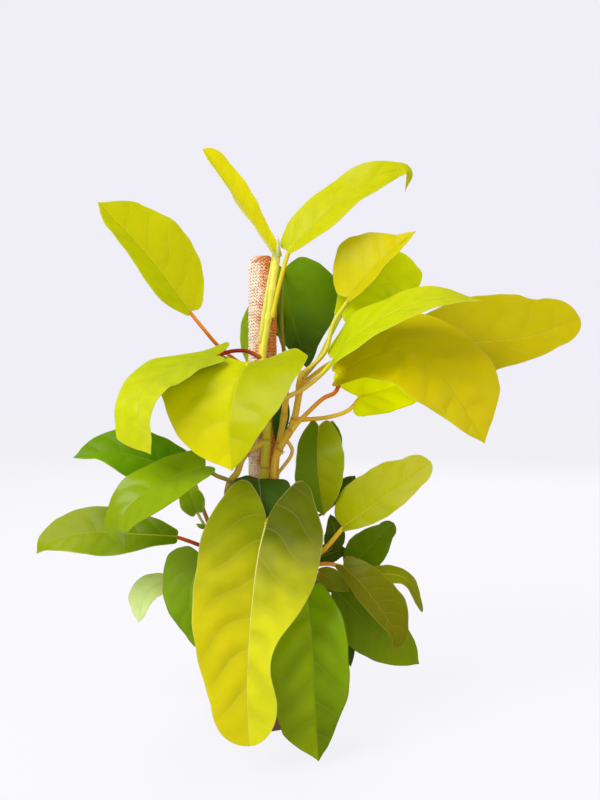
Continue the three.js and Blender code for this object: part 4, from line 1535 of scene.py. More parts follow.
LEAVES = [
    Leaf(
        "leaf_crown_left", Slot.GOLD,
        BladeFinish(("e2da00", "e8e000"), ("f4f09c", "ece820"), mottle=0.05, glow=0.06),
        [(13, -19, 406), (-13, -24, 443), (-49, -34, 494)], [(0.7, -0.5, 0.49)],
        (3, 3), (25, 18), (5, 10, 15, 18, 17), (9, 17, 15, 15, 13), blunt=True, pillow=0.2,
    ),
    Leaf(
        "leaf_crown_right", Slot.LIME, BladeFinish(("c6ca08", "c9cb0c")),
        [(23, -22, 410), (60, -26, 446), (96, -26, 471), (126, -24, 479), (125, -24, 461)],
        [(-0.5, -0.75, 0.43), (-0.3, -0.75, 0.6), (0.8, -0.6, 0.1)],
        (2, 2), (6, 6), (7, 17, 22, 17.5, 6), (13, 23, 24.5, 21, 7.5), pillow=0.7, spacing=24,
    ),
    Leaf(
        "leaf_upper_left", Slot.LIME, BladeFinish(("c8c600", "caca00"), ("ced500", "d0d504")),
        [(-59, -45, 355), (-91, -50, 398), (-133, -55, 443)], [(0.3, -0.9, 0.25)],
        (4, 4), (6, 35), (11, 26.5, 36.5, 35.5, 25.5), (6, 23.5, 24.5, 19, 15.5), pillow=0.5, spacing=22,
    ),
    Leaf(
        "leaf_behind_pole", Slot.DARK,
        BladeFinish(("8cb208", "3c5c00"), ("81ac06", "426204"), DARK_VEIN, DARK_EDGE, vein_show=0.14),
        [(19, 24, 401), (25, 34, 363), (41, 26, 309)], [(0.05, -0.98, 0.1)],
        (9, 11), (-36, 4), (15, 28, 30, 20, 9), (25, 45, 50, 36, 15), pillow=0.9, spacing=22,
    ),
    Leaf(
        "leaf_behind_pole_left", Slot.GREEN, BladeFinish(("96b418", "a4c01c"), vein=DARK_VEIN),
        [(2, 34, 375), (-8, 42, 345), (-8, 42, 300)], [(-0.2, -0.97, 0.1)],
        (4, 4), (6, 6), (7, 13.5, 16, 14, 9), (9.5, 16, 19, 15.5, 9),
    ),
    Leaf(
        "leaf_upper_right", Slot.GOLD, BladeFinish(("d5cd00", "d5d000"), ("d8d200", "d5cc00")),
        [(77, -20, 370), (101, -28, 397), (133, -30, 425)], [(-0.5, -0.71, 0.5)],
        (6, 6), (28, 28), (10, 22, 24, 20, 10), (15, 29, 38.5, 29, 9),
    ),
    Leaf(
        "leaf_upper_right_rear", Slot.LIME, BladeFinish(("d0dc00", "d4e000"), ("ccd600", "d4dc00"), glow=0.6),
        [(71, -6, 358), (94, 2, 380), (117, 8, 386), (136, 12, 372)], [(-0.1, -0.9, 0.3)],
        (6, 6), (6, 6), (14, 24, 30, 28, 18), (4, 14, 29, 34.5, 26.5), blunt=True,
    ),
    Leaf(
        "leaf_long_right", Slot.LIME, BladeFinish(("ccdc08", "ced210"), ("ccda0c", "ccd010")),
        [(62, -50, 315), (77, -64, 331), (107, -80, 349), (142, -86, 360), (178, -80, 358)],
        [(-0.2, -0.52, 0.83), (0, -0.45, 0.9)],
        (12, 14), (4, 4), (18, 30, 32, 27, 13), (38, 43, 33.5, 27, 17), pillow=0.7, spacing=26,
    ),
    Leaf(
        "leaf_far_right", Slot.OLIVE, BladeFinish(("b5ab00", "c4b700"), ("b9af00", "c6bb00")),
        [(134, -18, 324), (188, -22, 330), (233, -26, 335), (274, -30, 350)], [(-0.1, -0.95, 0.25)],
        (6, 6), (8, 8), (18, 29, 31, 23, 17), (20, 33, 40, 40.5, 28.5), blunt=True, pillow=0.7, spacing=28,
    ),
    Leaf(
        "leaf_drooping_right", Slot.OLIVE, BladeFinish(("dcd400", "dcd000"), ("d8d000", "dcd000"), glow=0.4),
        [(69, -34, 303), (94, -46, 317), (125, -58, 319), (151, -66, 296), (168, -68, 270),
         (183, -66, 245)],
        [(-0.3, -0.6, 0.7), (0, -0.75, 0.65), (0.3, -0.9, 0.3)],
        (10, 10), (4, 4), (14, 24, 39.5, 36.5, 18), (16, 28, 44, 47, 38.5), pillow=1.8, spacing=30,
    ),
    Leaf(
        "leaf_under_right", Slot.LIME, BladeFinish(("f0f804", "f4fa04"), glow=0.85),
        [(86, -28, 283), (108, -14, 289), (150, 2, 302)], [(-0.15, -0.9, 0.35)],
        (18, 18), (4, 4), (19, 22, 22, 22, 14), (27, 31, 27, 22, 14), pillow=1.2, spacing=20,
    ),
    Leaf(
        "leaf_heart_centre", Slot.GOLD, BladeFinish(("ccd200", "e2de00"), ("b2ba00", "c6ca00")),
        [(-9, -46, 311), (-16, -61, 298), (-22, -76, 264), (-20, -80, 224)],
        [(-0.1, -0.7, 0.8), (0, -0.97, 0.1)],
        (4, 17), (3, 18), (34, 50, 62, 48.5, 30), (48, 57, 48.5, 35.5, 18), pillow=1.9, spacing=32, sweep=3.0,
    ),
    Leaf(
        "leaf_arching_left", Slot.LIME, BladeFinish(("b4c414", "d0d60c"), ("b8c818", "d2d81c"), shine=0.3),
        [(-36, -48, 317), (-62, -62, 309), (-88, -80, 291), (-92, -90, 267), (-81, -94, 238)],
        [(-0.1, -0.6, 0.8), (-0.55, -0.7, 0.45), (-0.5, -0.85, -0.1)],
        (19, 4), (6, 6), (15, 10, 24, 23, 24), (12, 18, 28, 30, 12), pillow=1.2, spacing=20,
    ),
    Leaf(
        "leaf_mid_left_rear", Slot.GREEN, BladeFinish(("447400", "749c00"), ("487c00", "78a400"), "a4c440"),
        [(-64, 2, 211), (-100, -6, 226), (-134, -10, 234), (-166, -14, 229)], [(-0.1, -0.75, 0.65)],
        (6, 6), (6, 6), (14, 22, 27, 26, 18), (14, 20, 25, 21, 7), pillow=0.9, spacing=18,
    ),
    Leaf(
        "leaf_glossy_left", Slot.GREEN,
        BladeFinish(
            ("92b608", "8ea604"), ("94b40c", "94ac0c"), "bcd050", "8c8a3c", rough=0.28, vein_show=0.1,
            shine=0.25,
        ),
        [(-45, -52, 225), (-76, -70, 214), (-98, -82, 199), (-109, -86, 180), (-103, -84, 165)],
        [(-0.2, -0.7, 0.7), (-0.7, -0.7, 0.1)],
        (6, 6), (10, 10), (18, 22, 23, 22, 16), (10, 20, 28, 31, 20), pillow=1.0, spacing=18,
    ),
    Leaf(
        "leaf_low_left", Slot.OLIVE, BladeFinish(("668500", "98a700"), ("6a8900", "98ab00")),
        [(-72, -30, 163), (-103, -32, 165), (-145, -34, 167), (-179, -34, 159), (-191, -34, 149)],
        [(0, -0.8, 0.6)],
        (1, 1), (4, 4), (5, 15, 21.5, 24, 20), (6.5, 11, 20, 21, 11),
    ),
    small_leaf(
        "leaf_small_left", Slot.GREEN, BladeFinish(("84a010", "98b414"), vein=DARK_VEIN),
        [(-56, -22, 183), (-62, -18, 195), (-66, -14, 209)], [(0.1, -0.98, 0.1)], 3, 11,
    ),
    Leaf(
        "leaf_hanging_left", Slot.GREEN,
        BladeFinish(("98b722", "7ea804"), ("98bb1b", "85ac08"), DARK_VEIN, DARK_EDGE),
        [(-50, -42, 149), (-58, -52, 117), (-50, -54, 73)], [(-0.1, -0.9, 0.4), (-0.1, -0.97, 0.1)],
        (6, 6), (6, 6), (17, 26.5, 23, 16, 7.5), (12, 20, 20, 15, 8), pillow=0.9, spacing=16,
    ),
    Leaf(
        "leaf_pale_left", Slot.PALE, BladeFinish(("ccdc7c", "e0f0ac"), vein="dce8b0"),
        [(-84, -14, 121), (-101, -16, 110), (-108, -16, 85)], [(-0.2, -0.9, 0.4)],
        (2, 2), (6, 6), (6, 10.5, 14, 14, 9), (7, 10, 10, 8, 5), pillow=0.3,
    ),
    Leaf(
        "leaf_large_front", Slot.GOLD,
        BladeFinish(
            # painted shadow: the dark olive tones near the petiole, fading towards the tip, stand for the
            # shade that the heart-shaped blade above casts
            ("889400", "dcd410"), ("626d00", "dede20"), "f0ec80", rough=0.4, vein_show=0.08, rib_show=0.85,
            shine=0.0, fade=(0.05, 0.56), hollow=0.12,
        ),
        [(7, -76, 184), (1, -96, 157), (-3, -112, 116), (-5, -120, 67), (-3, -124, 28)],
        [(0, -0.75, 0.65), (0, -0.98, 0.15)],
        (33, 42), (8, 8), (30.5, 45, 44.5, 39, 26), (27, 47, 43, 18, 22), blunt=True,
        wave=(2.5, 2, 0.4), pillow=2.0, spacing=27,
    ),
    Leaf(
        "leaf_behind_large", Slot.DARK, BladeFinish(("4c6c1c", "547414"), vein="a4b888", edge="98ac8c"),
        [(-1, -39, 213), (0, -47, 209), (2, -54, 193), (3, -57, 168)], [(0, -0.3, 0.95), (0, -1, 0.1)],
        (6, 0), (3, 3), even_sides(26), even_sides(26),
    ),
    Leaf(
        "leaf_green_front", Slot.GREEN,
        BladeFinish(
            ("a8c808", "91a800"), ("98c008", "6e8400"), "b4c838", "3c4c04", rough=0.28, vein_show=0.16,
            hollow=0.18,
        ),
        [(40, -62, 124), (43, -82, 91), (45, -94, 48), (48, -100, 5)], [(0, -0.93, 0.35), (0.05, -1, 0)],
        (7, 7), (8, 8), (8, 18, 32, 34.5, 26), (12, 23.5, 28, 26.5, 14.5), pillow=1.8, spacing=25,
    ),
    Leaf(
        "leaf_centre_right", Slot.GREEN, BladeFinish(("749100", "6e8900"), ("a4b304", "9aa400")),
        [(50, -24, 257), (49, -36, 225), (54, -32, 181)], [(-0.1, -0.99, 0.1)],
        (6, 6), (8, 8), (6, 15, 18, 20, 13), (9.5, 18.5, 22.5, 20.5, 13), pillow=0.9, spacing=20,
    ),
    small_leaf(
        "leaf_centre_right_rear", Slot.GREEN, BladeFinish(("708c00", "6c8400"), vein=DARK_VEIN),
        [(59, -4, 258), (62, 0, 238), (60, 4, 210)], [(0.2, -0.95, 0.1)], 3, 10,
    ),
    Leaf(
        "leaf_olive_right", Slot.OLIVE, BladeFinish(("aab000", "b6b600"), ("aeb400", "b8b800")),
        [(70, -40, 173), (104, -52, 200), (141, -58, 229)], [(-0.3, -0.85, 0.4)],
        (2, 2), (6, 6), (4, 10, 15, 15.5, 11.5), (16, 24.5, 27, 25, 16.5), blunt=True, pillow=0.5, spacing=20,
    ),
    small_leaf(
        "leaf_dark_right_rear", Slot.DARK, shaded("405800", "486400"),
        [(66, 2, 187), (76, 6, 200), (84, 8, 211)], [(0, -1, 0.1)], 3, 12,
    ),
    small_leaf(
        "leaf_round_right", Slot.DARK, shaded("6b8a00", "789600"),
        [(80, -8, 133), (100, -14, 155), (116, -16, 172)], [(-0.1, -0.97, 0.2)], 4, 17, blunt=True,
    ),
    Leaf(
        "leaf_bronze_right", Slot.BRONZE,
        BladeFinish(("7c7e00", "7b7c00"), ("7c8000", "777900"), "c8b82c", "bcae40", vein_show=0.25),
        [(70, -50, 142), (89, -62, 124), (110, -68, 93), (109, -66, 78)], [(0.1, -0.9, 0.4)],
        (5, 5), (8, 8), (6, 8, 11, 9, 5), (9, 15, 19, 21, 12), pillow=0.8, spacing=12,
    ),
    small_leaf(
        "leaf_curled_right", Slot.GREEN, BladeFinish(("8b920a", "929800")),
        [(91, -24, 129), (117, -28, 129), (129, -28, 121), (139.5, -26, 97)],
        [(0.2, -0.6, 0.75), (0.6, -0.6, 0.4)], 3, 9, blunt=True,
    ),
    Leaf(
        "leaf_low_right", Slot.DARK, shaded("6e8a00", "8aa000"),
        [(66, -12, 111), (100, -20, 78), (138, -18, 49)], [(-0.1, -0.95, 0.2)],
        (3, 3), (6, 6), (4, 16, 24, 21, 13), (13, 22, 27, 23.5, 15), pillow=0.9, spacing=20,
    ),
    small_leaf(
        "leaf_low_strip", Slot.DARK, DIM,
        [(66, 8, 92), (74, 10, 66), (80, 8, 37)], [(0, -1, 0)], 2, 11,
    ),
    small_leaf(
        "leaf_dark_small", Slot.DARK, DIM,
        [(61, -24, 151), (64, -26, 165), (60, -24, 181)], [(0, -1, 0)], 2, 9,
    ),
    small_leaf(
        "leaf_dark_low", Slot.DARK, DIM,
        [(48, -4, 138), (64, 0, 143), (78, 4, 143)], [(0, -0.95, 0.3)], 2, 9,
    ),
    small_leaf(
        "leaf_bronze_small", Slot.BRONZE, BladeFinish(("98a018", "8c9810"), vein="c8a83c", edge="bc9a50"),
        [(50, -30, 131), (62, -33, 126), (76, -34, 117)], [(0, -0.9, 0.4)], 2, 9,
    ),
    small_leaf(
        "leaf_inner", Slot.DARK, shaded("3c7c20", "2c6c1c"),
        [(19, -13, 279), (17, -14, 262), (14, -14.5, 238)], [(0, -1, 0.05)], 2, 7, fold=3,
    ),
]


@dataclass(frozen=True)
class Stalk:
    """A stem or petiole: its radius, its points and its colours from first to last."""

    radius: float
    path: list[Point]
    tints: tuple[str, ...]


@dataclass(frozen=True)
class Vine:
    """The stems and petioles of one vine, which the CAD model has as one solid."""

    name: str
    stems: list[Stalk]
    petioles: dict[str, Stalk]
    extras: list[Stalk] = field(default_factory=list)

    STEP = 1.6
    NODE_TINT = "a83c10"
    NODE_PITCH, NODE_JITTER, NODE_CLEAR = 27.0, 4, 0.45
    FIRST_NODE, LAST_NODE = 45.0, 8
    JOINT_REACH, JOINT_DROP = 4.5, 2.0
    SWELLING, WAIST = (0.2, 0.0, 4.0), (-0.05, 5.0, 1.8)
    MARK_PLACE, MARK_WIDTH, MARK_SHOW = 2.4, 1.1, (0.35, 0.75)
    MARK_TOP, MARK_FADE = 330, 60
    STEM_TAPER = 0.12
    NUB_TINTS = ("6a3414", "a8622c")
    NUB_LOWEST, NUB_GIRTH = 96, 0.95
    TUCK_AT, TUCK_DEPTH = (0.5, 5.0, 12.0), (0.75, 0.6, 0.45)
    TUCK_LEFT, TUCK_GIRTH = (0.0, 7.0, 14.0), (0.25, 0.62, 1.0)
    CLASP, CLASP_LENGTH, PETIOLE_TAPER = 0.4, 7.0, 0.1
    BUD_STATIONS, BUD_POINT = 12, 0.12

    def strands(self) -> list[Strand]:
        """Lays out every strand of the vine.

        Returns:
            Its strands.
        """
        draw = random.Random(len(self.petioles) + 11)
        made = [strand for stem in self.stems for strand in self._stem(stem, draw)]
        blades = {leaf.name: leaf for leaf in LEAVES}
        made += [self._petiole(stalk, blades[name]) for name, stalk in self.petioles.items()]
        made += [self._taper(stalk) for stalk in self.extras]
        return made

    def _line(self, points: Sequence[Point]) -> tuple[Path, np.ndarray]:
        """Measures a stalk and gives its stations, as shares of the length."""
        path = Path(points)
        return path, np.linspace(0, 1, max(4, int(path.length / self.STEP)))

    @staticmethod
    def _tints(codes: Sequence[str], u: np.ndarray) -> np.ndarray:
        """Gives the colours along a stalk.

        Args:
            codes: Its colours, evenly spaced.
            u: Shares of its length.

        Returns:
            A colour for each share.
        """
        colours = np.array([paint(code)[:3] for code in codes])
        stations = np.linspace(0, 1, len(colours))
        return np.stack([np.interp(u, stations, colours[:, k]) for k in range(3)], axis=1)

    def _stem(self, stem: Stalk, draw: random.Random) -> list[Strand]:
        """A stem with its nodes and the small root nubs at them.

        Args:
            stem: The stem.
            draw: Source of fixed random numbers.

        Returns:
            The stem's strand and the nubs' strands.
        """
        path, u = self._line(stem.path)
        points = path.at(u)
        joints: list[float] = []
        for stalk in self.petioles.values():
            gaps = np.linalg.norm(points - np.array(stalk.path[0]), axis=1)
            if gaps.min() < self.JOINT_REACH:
                joints.append(float(u[gaps.argmin()]) * path.length - self.JOINT_DROP)
        station = self.FIRST_NODE
        while station < path.length - self.LAST_NODE:
            if all(abs(station - joint) > self.NODE_CLEAR * self.NODE_PITCH for joint in joints):
                joints.append(station)
            station += self.NODE_PITCH + draw.uniform(-self.NODE_JITTER, self.NODE_JITTER)
        length = u * path.length
        girth = np.full(len(u), stem.radius)
        tint = self._tints(stem.tints, u)
        mark = np.array(paint(self.NODE_TINT)[:3])
        nubs = []
        for joint in joints:
            for size, offset, width in (self.SWELLING, self.WAIST):
                girth = girth + size * stem.radius * np.exp(-(((length - joint - offset) / width) ** 2))
            lit = np.clip((self.MARK_TOP - points[:, 2]) / self.MARK_FADE, 0.1, 1)
            strength = draw.uniform(*self.MARK_SHOW) * lit
            share = strength * np.exp(-(((length - joint - self.MARK_PLACE) / self.MARK_WIDTH) ** 2))
            tint = tint * (1 - share[:, None]) + mark * share[:, None]
            nubs += self._nubs(path, joint / path.length, stem.radius, draw)
        girth = girth * (1 - self.STEM_TAPER * u)
        return [Strand(points, girth, tint), *nubs]

    def _nubs(self, path: Path, u: float, radius: float, draw: random.Random) -> list[Strand]:
        """Short root nubs that stand out of a node.

        Args:
            path: The stem's line.
            u: The node's share of it.
            radius: The stem's radius.
            draw: Source of fixed random numbers.

        Returns:
            Up to two strands.
        """
        if path.at(np.array([u]))[0][2] < self.NUB_LOWEST:
            return []
        made = []
        for _ in range(draw.choice((0, 1, 1, 2))):
            turn, reach = draw.uniform(0, 6.28), draw.uniform(0.9, 2.2)
            out = np.array([math.cos(turn), math.sin(turn), draw.uniform(-0.5, 0.1)])
            start = path.at(np.array([u]))[0] + out * radius * 0.5
            shares = np.linspace(0, 1, 4)[:, None]
            points = start + out * (radius * 0.6 + reach) * shares
            tint = self._tints(self.NUB_TINTS, shares[:, 0])
            made.append(Strand(points, self.NUB_GIRTH * (1 - 0.65 * shares[:, 0]), tint))
        return made

    def _petiole(self, stalk: Stalk, leaf: Leaf) -> Strand:
        """A petiole, which clasps its stem and runs in under its blade's midrib.

        Args:
            stalk: The petiole.
            leaf: Its blade.

        Returns:
            Its strand.
        """
        rib = Path(leaf.rib)
        shares = np.array(self.TUCK_AT) / rib.length
        _, up, _ = leaf.frame(rib, shares)
        sunk = rib.at(shares) - up * np.array(self.TUCK_DEPTH)[:, None] * stalk.radius
        path, u = self._line([*stalk.path, *(tuple(p) for p in sunk)])
        length, left = u * path.length, (1 - u) * path.length
        clasp = self.CLASP * np.exp(-((length / self.CLASP_LENGTH) ** 2))
        girth = stalk.radius * (1 + clasp - self.PETIOLE_TAPER * u)
        girth = girth * np.interp(left, self.TUCK_LEFT, self.TUCK_GIRTH)
        return Strand(path.at(u), girth, self._tints(stalk.tints, u))

    def _taper(self, stalk: Stalk) -> Strand:
        """A bud or sheath: swollen low down and drawn to a point.

        Args:
            stalk: The bud or sheath.

        Returns:
            Its strand.
        """
        u = np.linspace(0, 1, self.BUD_STATIONS)
        girth = stalk.radius * np.sin(math.pi * (0.25 + 0.75 * u) ** 0.9) ** 0.8
        return Strand(Path(stalk.path).at(u), np.maximum(girth, self.BUD_POINT), self._tints(stalk.tints, u))


YELLOW_STEM = ("a8941c", "ccbc2c", "e0d838", "e8e058")
OLIVE_STEM = ("c0a830", "d8b838", "e4c440")
TAN_STEM = ("b07c18", "d4a028", "e4b830", "e8c03c")

VINES = [
    Vine(
        "centre",
        [
            Stalk(4, [(2, -26, 60), (2, -26, 110), (3, -23, 215), (5, -21.5, 255), (1, -19.5, 300),
                      (1, -19, 322), (8, -19, 370), (13, -19, 404)], YELLOW_STEM),
            Stalk(3.2, [(-22, -27, 60), (-22, -27, 110), (-24, -28, 160), (-28, -30, 203),
                        (-20, -31, 218), (-13, -29, 234), (5, -22, 244)], OLIVE_STEM),
        ],
        {
            "leaf_crown_right": Stalk(2, [(9, -19, 352), (17, -21, 385)], ("d4c81c", "dcc41c", "e0c818")),
            "leaf_upper_left": Stalk(
                1.7, [(1, -20, 303), (-18, -20, 312), (-36, -27, 326), (-47, -38, 339)],
                ("c87420", "ec8418", "f49824")),
            "leaf_arching_left": Stalk(
                1.8, [(1, -20, 316), (-12, -28, 322), (-26, -38, 321)],
                ("c87c20", "981804", "8c1400", "b04808")),
            "leaf_heart_centre": Stalk(2, [(4, -21, 272), (2, -34, 290)], ("ccb440", "dcc430", "d4cc20")),
            "leaf_long_right": Stalk(
                2.1, [(5, -21, 262), (18, -40, 279), (36, -44, 289), (50, -46, 300)],
                ("fcd84c", "fce058", "f8dc44")),
            "leaf_behind_large": Stalk(1.8, [(3, -23, 196), (0, -30, 205)], ("8c7c2c", "7c842c")),
            "leaf_large_front": Stalk(
                2.4, [(2, -25, 148), (4, -44, 156), (7, -64, 172)], ("a08030", "b49c24")),
            "leaf_mid_left_rear": Stalk(
                1.9, [(-24, -28, 158), (-40, -22, 163), (-50, -14, 180), (-60, -3, 204)],
                ("b88440", "cc9440", "b89838")),
            "leaf_glossy_left": Stalk(
                1.9, [(-27, -30, 202), (-25, -40, 211), (-36, -48, 217)], ("a89848", "a49c34", "8ca020")),
            "leaf_low_left": Stalk(
                1.8, [(-22, -27, 138), (-40, -29, 149), (-54, -30, 156)], ("c07420", "c84c10", "cc6014")),
            "leaf_small_left": Stalk(
                1.3, [(-24, -28, 150), (-38, -24, 160), (-49, -22, 171)], ("ccc068", "d0c870", "b8bc50")),
            "leaf_hanging_left": Stalk(1.8, [(-22, -27, 126), (-38, -34, 144)], ("8c7430", "7c8424")),
            "leaf_pale_left": Stalk(
                1.4, [(-22, -27, 116), (-50, -18, 128), (-72, -14, 131)], ("a08440", "b4a45c")),
        },
        [
            Stalk(2.4, [(13.5, -19, 400), (14.6, -20, 411), (14.8, -20.5, 422)], ("b8c464", "c8cc9c")),
            Stalk(2.4, [(-1, -20.5, 330), (4.5, -20.5, 368), (9.5, -20, 402), (10, -20, 412)],
                  ("d0d048", "dcd870")),
            Stalk(2.3, [(-49, -23, 170), (-52.5, -25, 171), (-56, -26, 173)], ("8cac24", "7cae28")),
        ],
    ),
    Vine(
        "right",
        [
            Stalk(3.3, [(19, -31, 60), (19, -31, 110), (15, -31, 180), (12, -33, 226), (28, -35, 261),
                        (36, -35, 305)], TAN_STEM),
            Stalk(1.7, [(21, -34, 248), (27, -34, 235), (14, -33, 216)], ("f4b850", "f0bc4c", "d8a048")),
        ],
        {
            "leaf_upper_right": Stalk(
                2, [(35, -35, 301), (55, -30, 321), (63, -24, 347)], ("ccb840", "ccc434", "d4d024")),
            "leaf_upper_right_rear": Stalk(
                1.9, [(34, -35, 296), (50, -22, 316), (62, -11, 340)], ("c0ac3c", "b0b430", "b4c028")),
            "leaf_far_right": Stalk(
                2, [(34, -35, 292), (58, -12, 311), (90, 2, 325), (122, -10, 326)],
                ("dcb43c", "dcc030", "d8c828")),
            "leaf_drooping_right": Stalk(
                2, [(26, -35, 254), (37, -36, 266), (53, -36, 281), (64, -35, 287)],
                ("fcd840", "f8b82c", "f07418", "d02c04")),
            "leaf_under_right": Stalk(
                1.9, [(29, -35, 263), (56, -33, 265), (75, -30, 271)], ("f0b030", "fcd838", "f4d434")),
        },
    ),
    Vine(
        "back",
        [
            Stalk(3.2, [(23, -14, 60), (23, -14, 110), (16, -17, 170), (12.5, -20, 220), (20, -20, 268),
                        (21, -16, 290)], OLIVE_STEM),
        ],
        {
            "leaf_behind_pole": Stalk(
                2, [(21, -16, 286), (21, 4, 308), (17, 17, 345), (17, 19, 385)], ("94802c", "8c9c24")),
            "leaf_behind_pole_left": Stalk(
                1.6, [(18, 13, 332), (11, 23, 350), (5, 29, 366)], ("94942c", "a4b42c")),
            "leaf_inner": Stalk(1, [(20, -18, 283)], ("7c8428", "6c7c20")),
        },
    ),
    Vine(
        "low",
        [Stalk(3, [(35, -18, 60), (35, -18, 110), (38, -20, 150), (40, -19, 190), (44, -18, 232)], TAN_STEM)],
        {
            "leaf_green_front": Stalk(2.1, [(35, -18, 107), (36, -40, 118)], ("a0702c", "8c842c")),
            "leaf_centre_right": Stalk(1.7, [(43, -18, 228), (46, -17, 250)], ("cca850", "c0b844")),
            "leaf_centre_right_rear": Stalk(1.3, [(43, -18, 224), (53, -10, 250)], ("a08434", "8c8c2c")),
            "leaf_olive_right": Stalk(
                2.1, [(37, -20, 136), (46, -27, 144), (56, -34, 154)], ("f4b028", "fccc2c", "f4d430")),
            "leaf_dark_right_rear": Stalk(1.2, [(40, -19, 178), (52, -8, 178)], ("7c6c2c", "6c742c")),
            "leaf_round_right": Stalk(1.4, [(35, -18, 118), (58, -10, 122)], ("8c6c2c", "6c7424")),
            "leaf_bronze_right": Stalk(
                1.8, [(36, -19, 124), (42, -34, 137), (55, -46, 143)], ("e88428", "f4a434", "e0ac3c")),
            "leaf_curled_right": Stalk(1.3, [(35, -18, 112), (66, -22, 122)], ("a8742c", "949024")),
            "leaf_low_right": Stalk(1.8, [(35, -18, 104), (50, -14, 112)], ("8c6c2c", "6c7424")),
            "leaf_low_strip": Stalk(1.2, [(35, -18, 108), (52, -2, 112)], ("7c6428", "5c6c20")),
            "leaf_dark_small": Stalk(1.1, [(38, -20, 148), (50, -23, 146)], ("8c6c2c", "6c7424")),
            "leaf_dark_low": Stalk(1.1, [(37, -20, 132)], ("8c6c2c", "6c7424")),
            "leaf_bronze_small": Stalk(1.1, [(36, -19, 128)], ("b4642c", "b4842c")),
        },
    ),
]


@dataclass
class Foliage:
    """Every blade of the plant."""

    leaves: list[Leaf]

    def build(self) -> None:
        """Makes each blade in place of its CAD node."""
        for number, leaf in enumerate(self.leaves):
            settle(leaf.build(number + 3), leaf.slot, leaf.name)


@dataclass
class Stems:
    """The four vines, with their petioles."""

    vines: list[Vine]
    sides: int = 14

    def build(self, sweeper: Sweeper) -> None:
        """Makes each vine in place of its CAD node.

        Args:
            sweeper: What sweeps the strands.
        """
        skin = StemFinish().material("finish_stem")
        for vine in self.vines:
            piece = sweeper.sweep(f"stems_{vine.name}", vine.strands(), self.sides, skin)
            settle(piece, Slot.STEM, f"vine_{vine.name}")


def lathe(name: str, profile: Sequence[tuple[float, float]], sides: int) -> bpy.types.Mesh:
    """Turns a profile round the upright axis into a closed mesh.

    Args:
        name: The mesh's name.
        profile: Radius and height of each point, first and last on the axis or closing a ring.
        sides: Steps round the axis.

    Returns:
        The mesh, in metres.
    """
    shape = bmesh.new()
    rings = []
    for radius, height in profile:
        count = 1 if radius == 0 else sides
        turns = [2 * math.pi * k / sides for k in range(count)]
        places = [(radius * MM * math.cos(t), radius * MM * math.sin(t), height * MM) for t in turns]
        rings.append([shape.verts.new(place) for place in places])
    for low, high in zip(rings, rings[1:]):
        for k in range(sides):
            step = (k + 1) % sides
            corners = [low[k % len(low)], low[step % len(low)], high[step % len(high)], high[k % len(high)]]
            unique = list(dict.fromkeys(corners))
            if len(unique) > 2:
                shape.faces.new(unique)
    bmesh.ops.remove_doubles(shape, verts=shape.verts, dist=1e-7)
    bmesh.ops.recalc_face_normals(shape, faces=shape.faces)
    mesh = bpy.data.meshes.new(name)
    shape.to_mesh(mesh)
    shape.free()
    return mesh


